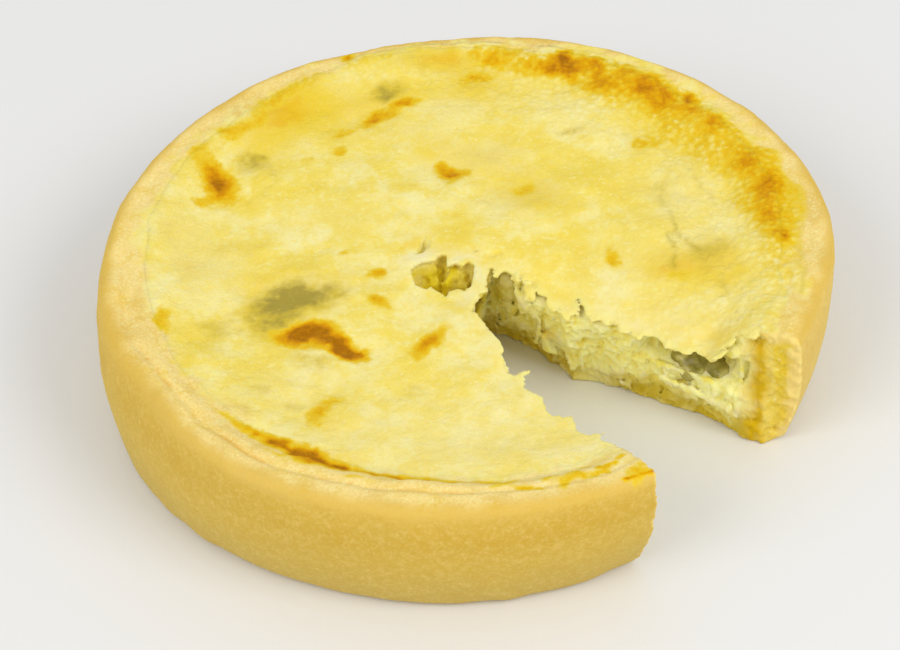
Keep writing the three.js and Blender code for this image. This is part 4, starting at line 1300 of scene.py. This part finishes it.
def custard_piece(material):
    vertices, quads = largest_part(*surface_of(fill_field(custard_body, custard_field, CUSTARD_REACH)))
    made = thinned(mesh_object("custard", vertices, quads), hidden_in_custard)
    x, y, z = points_of(made).T
    plan = Plan(x, y)
    without_folds(made, (np.abs(plan.top - z) < 0.06) & (plan.gap < -5.0) & (plan.in_hole < -2.0))
    x, y, z = points_of(made).T
    plan = Plan(x, y)
    depth = plan.top - z
    at_pits = ease(plan.away(PITS_CENTRE), 4.6, 3.6) * ease(depth, 0.15, 0.5)
    ragged = plan.grain((0.3, 1.3, 81), z=z)
    give_shares(
        made,
        torn=np.maximum(ease(depth + ragged, 0.5, 1.5), at_pits),
        thin=ease(-plan.skin_gap, 1.8, 0.2) * (1.0 - ease(depth, 1.0, 2.0)),
    )
    give_top_shares(made, plan)
    give_crumb_shares(made, plan, z)
    finish_piece(made, material, "custard", "custard_filling")


def pastry_piece(material):
    vertices, quads = largest_part(*surface_of(fill_field(pastry_body, pastry_field, PASTRY_REACH)))
    made = thinned(mesh_object("pastry", vertices, quads), hidden_in_pastry)
    x, y, z = points_of(made).T
    plan = Plan(x, y)
    wavy = plan.grain((0.5, 6.0, 67), (0.3, 2.0, 68))
    below_edge = 1.0 - ease(z + wavy, RIM_HEIGHT - 3.0, RIM_HEIGHT - 0.7)
    on_wall = np.maximum(1.0 - ease(plan.wall(z), 1.4, 3.0), 1.0 - ease(z, 3.0, 6.0))
    from_outside = np.minimum(plan.wall(z), 1.4 * (plan.rim_level - z))
    give_shares(
        made,
        torn=ease(opening(plan, z, case_relief(plan, z)), -0.5, -0.15),
        walled=below_edge * on_wall,
        high=ease(z + wavy, 16.5, 22.5),
        # Painted light and shade: paler up towards the rim, darker down towards the foot.
        low=1.0 - ease(z, 2.0, 14.0),
        toasted=0.5 * bump(z - 18.0, 4.0),
        # Painted light on the wall's right side.
        less_baked=0.3 * plan.toward(5.0, 0.4, 0.95),
        crusty=ease(plan.grain((0.8, 1.6, 62), z=z, on=from_outside), 2.8, 0.6),
    )
    give_top_shares(made, plan)
    give_crumb_shares(made, plan, z)
    finish_piece(made, material, "pastry", "pastry_case")


def lump_mesh(centre, radii, turn, seed):
    """Points and faces of a soft lump, uneven all over."""
    shape = bmesh.new()
    bmesh.ops.create_icosphere(shape, subdivisions=LUMP_ROUNDS, radius=1.0)
    points = np.array([vertex.co[:] for vertex in shape.verts])
    faces = np.array([[vertex.index for vertex in face.verts] for face in shape.faces])
    shape.free()
    x, y, z = (points * radii).T
    size = min(radii)
    swell = 1.0 + 0.15 * noise(x, y, z, size, seed) + 0.07 * noise(x, y, z, 0.45 * size, seed + 2.0)
    points = points * np.array(radii) * swell[:, None]
    turned = points @ np.array(Matrix.Rotation(-math.radians(turn), 3, "Z"))
    return turned + centre, faces


def vegetable_piece(name, piece, material, node):
    along, inside, height, radii, seed = piece
    points, faces = lump_mesh(right_face(along, inside, height), radii, face_turn(), seed)
    finish_piece(mesh_object(name, points, faces), material, "vegetable", node)


# ---- Stage, light and camera ----

CAMERA_PLACE = (-3.09, -310.76, 282.48)
CAMERA_LOOKS = (0.0, 0.74895, -0.66263)
CAMERA_RIGHT = (0.99786, -0.04333, -0.04897)
LENS = 100.0


def add_camera():
    data = bpy.data.cameras.new("camera")
    data.lens = LENS
    data.sensor_width = 36.0
    data.clip_start = 0.01
    data.clip_end = 20.0
    looks = Vector(CAMERA_LOOKS).normalized()
    right = Vector(CAMERA_RIGHT).normalized()
    turned = Matrix((right, right.cross(looks), -looks)).transposed().to_4x4()
    place = Vector((np.array(CAMERA_PLACE) + CENTRING) * MM)
    camera = link_object("camera", data)
    camera.matrix_world = Matrix.Translation(place) @ turned
    bpy.context.scene.camera = camera


def add_floor():
    half = 3.0
    corners = [(-half, -half, 0.0), (half, -half, 0.0), (half, half, 0.0), (-half, half, 0.0)]
    mesh = bpy.data.meshes.new("floor")
    mesh.from_pydata(corners, [], [(0, 1, 2, 3)])
    floor = link_object("floor", mesh)
    shader = Shader("pale floor")
    faint = shader.noise(60.0, detail=2.0)
    base = shader.mix(faint, colour(235, 235, 234), colour(237, 237, 236))
    mesh.materials.append(shader.finish(base, 0.45, shader.bumps((faint, 0.02, 0.1)), 0.3))


def add_light(name, place, size, power):
    """A white disk-shaped lamp that shines at the middle of the quiche's foot."""
    data = bpy.data.lights.new(name, "AREA")
    data.shape = "DISK"
    data.size = size
    data.energy = power
    lamp = link_object(name, data)
    lamp.location = place
    lamp.rotation_euler = (-Vector(place)).to_track_quat("-Z", "Y").to_euler()


def add_lights():
    add_light("into the gap", (0.8, -0.62, 0.85), 0.7, 6.3)
    add_light("left", (-0.85, -0.7, 0.9), 0.9, 5.6)
    world = bpy.data.worlds.new("studio")
    bpy.context.scene.world = world
    world.use_nodes = True
    sky = world.node_tree.nodes["Background"]
    sky.inputs["Color"].default_value = (1.0, 1.0, 1.0, 1.0)
    sky.inputs["Strength"].default_value = 0.64
    bpy.context.scene.view_settings.view_transform = "Standard"
    bpy.context.scene.view_settings.look = "None"


add_camera()
add_lights()
add_floor()
custard_looks = custard_material()
pastry_looks = pastry_material()
# Both vegetables are partly their own colour and partly painted: the large one's tones are darkened as
# painted shade, the small one's made paler as painted light.
green = vegetable_material("soft green vegetable", (126, 118, 46), (158, 148, 72), (200, 190, 114))
pale_green = vegetable_material("pale green vegetable", (214, 200, 96), (236, 226, 140), (248, 240, 176))
custard_piece(custard_looks)
pastry_piece(pastry_looks)
vegetable_piece("vegetable_by_the_wall", LARGE_PIECE, green, "vegetable_large")
vegetable_piece("vegetable_at_the_tip", SMALL_PIECE, pale_green, "vegetable_small")
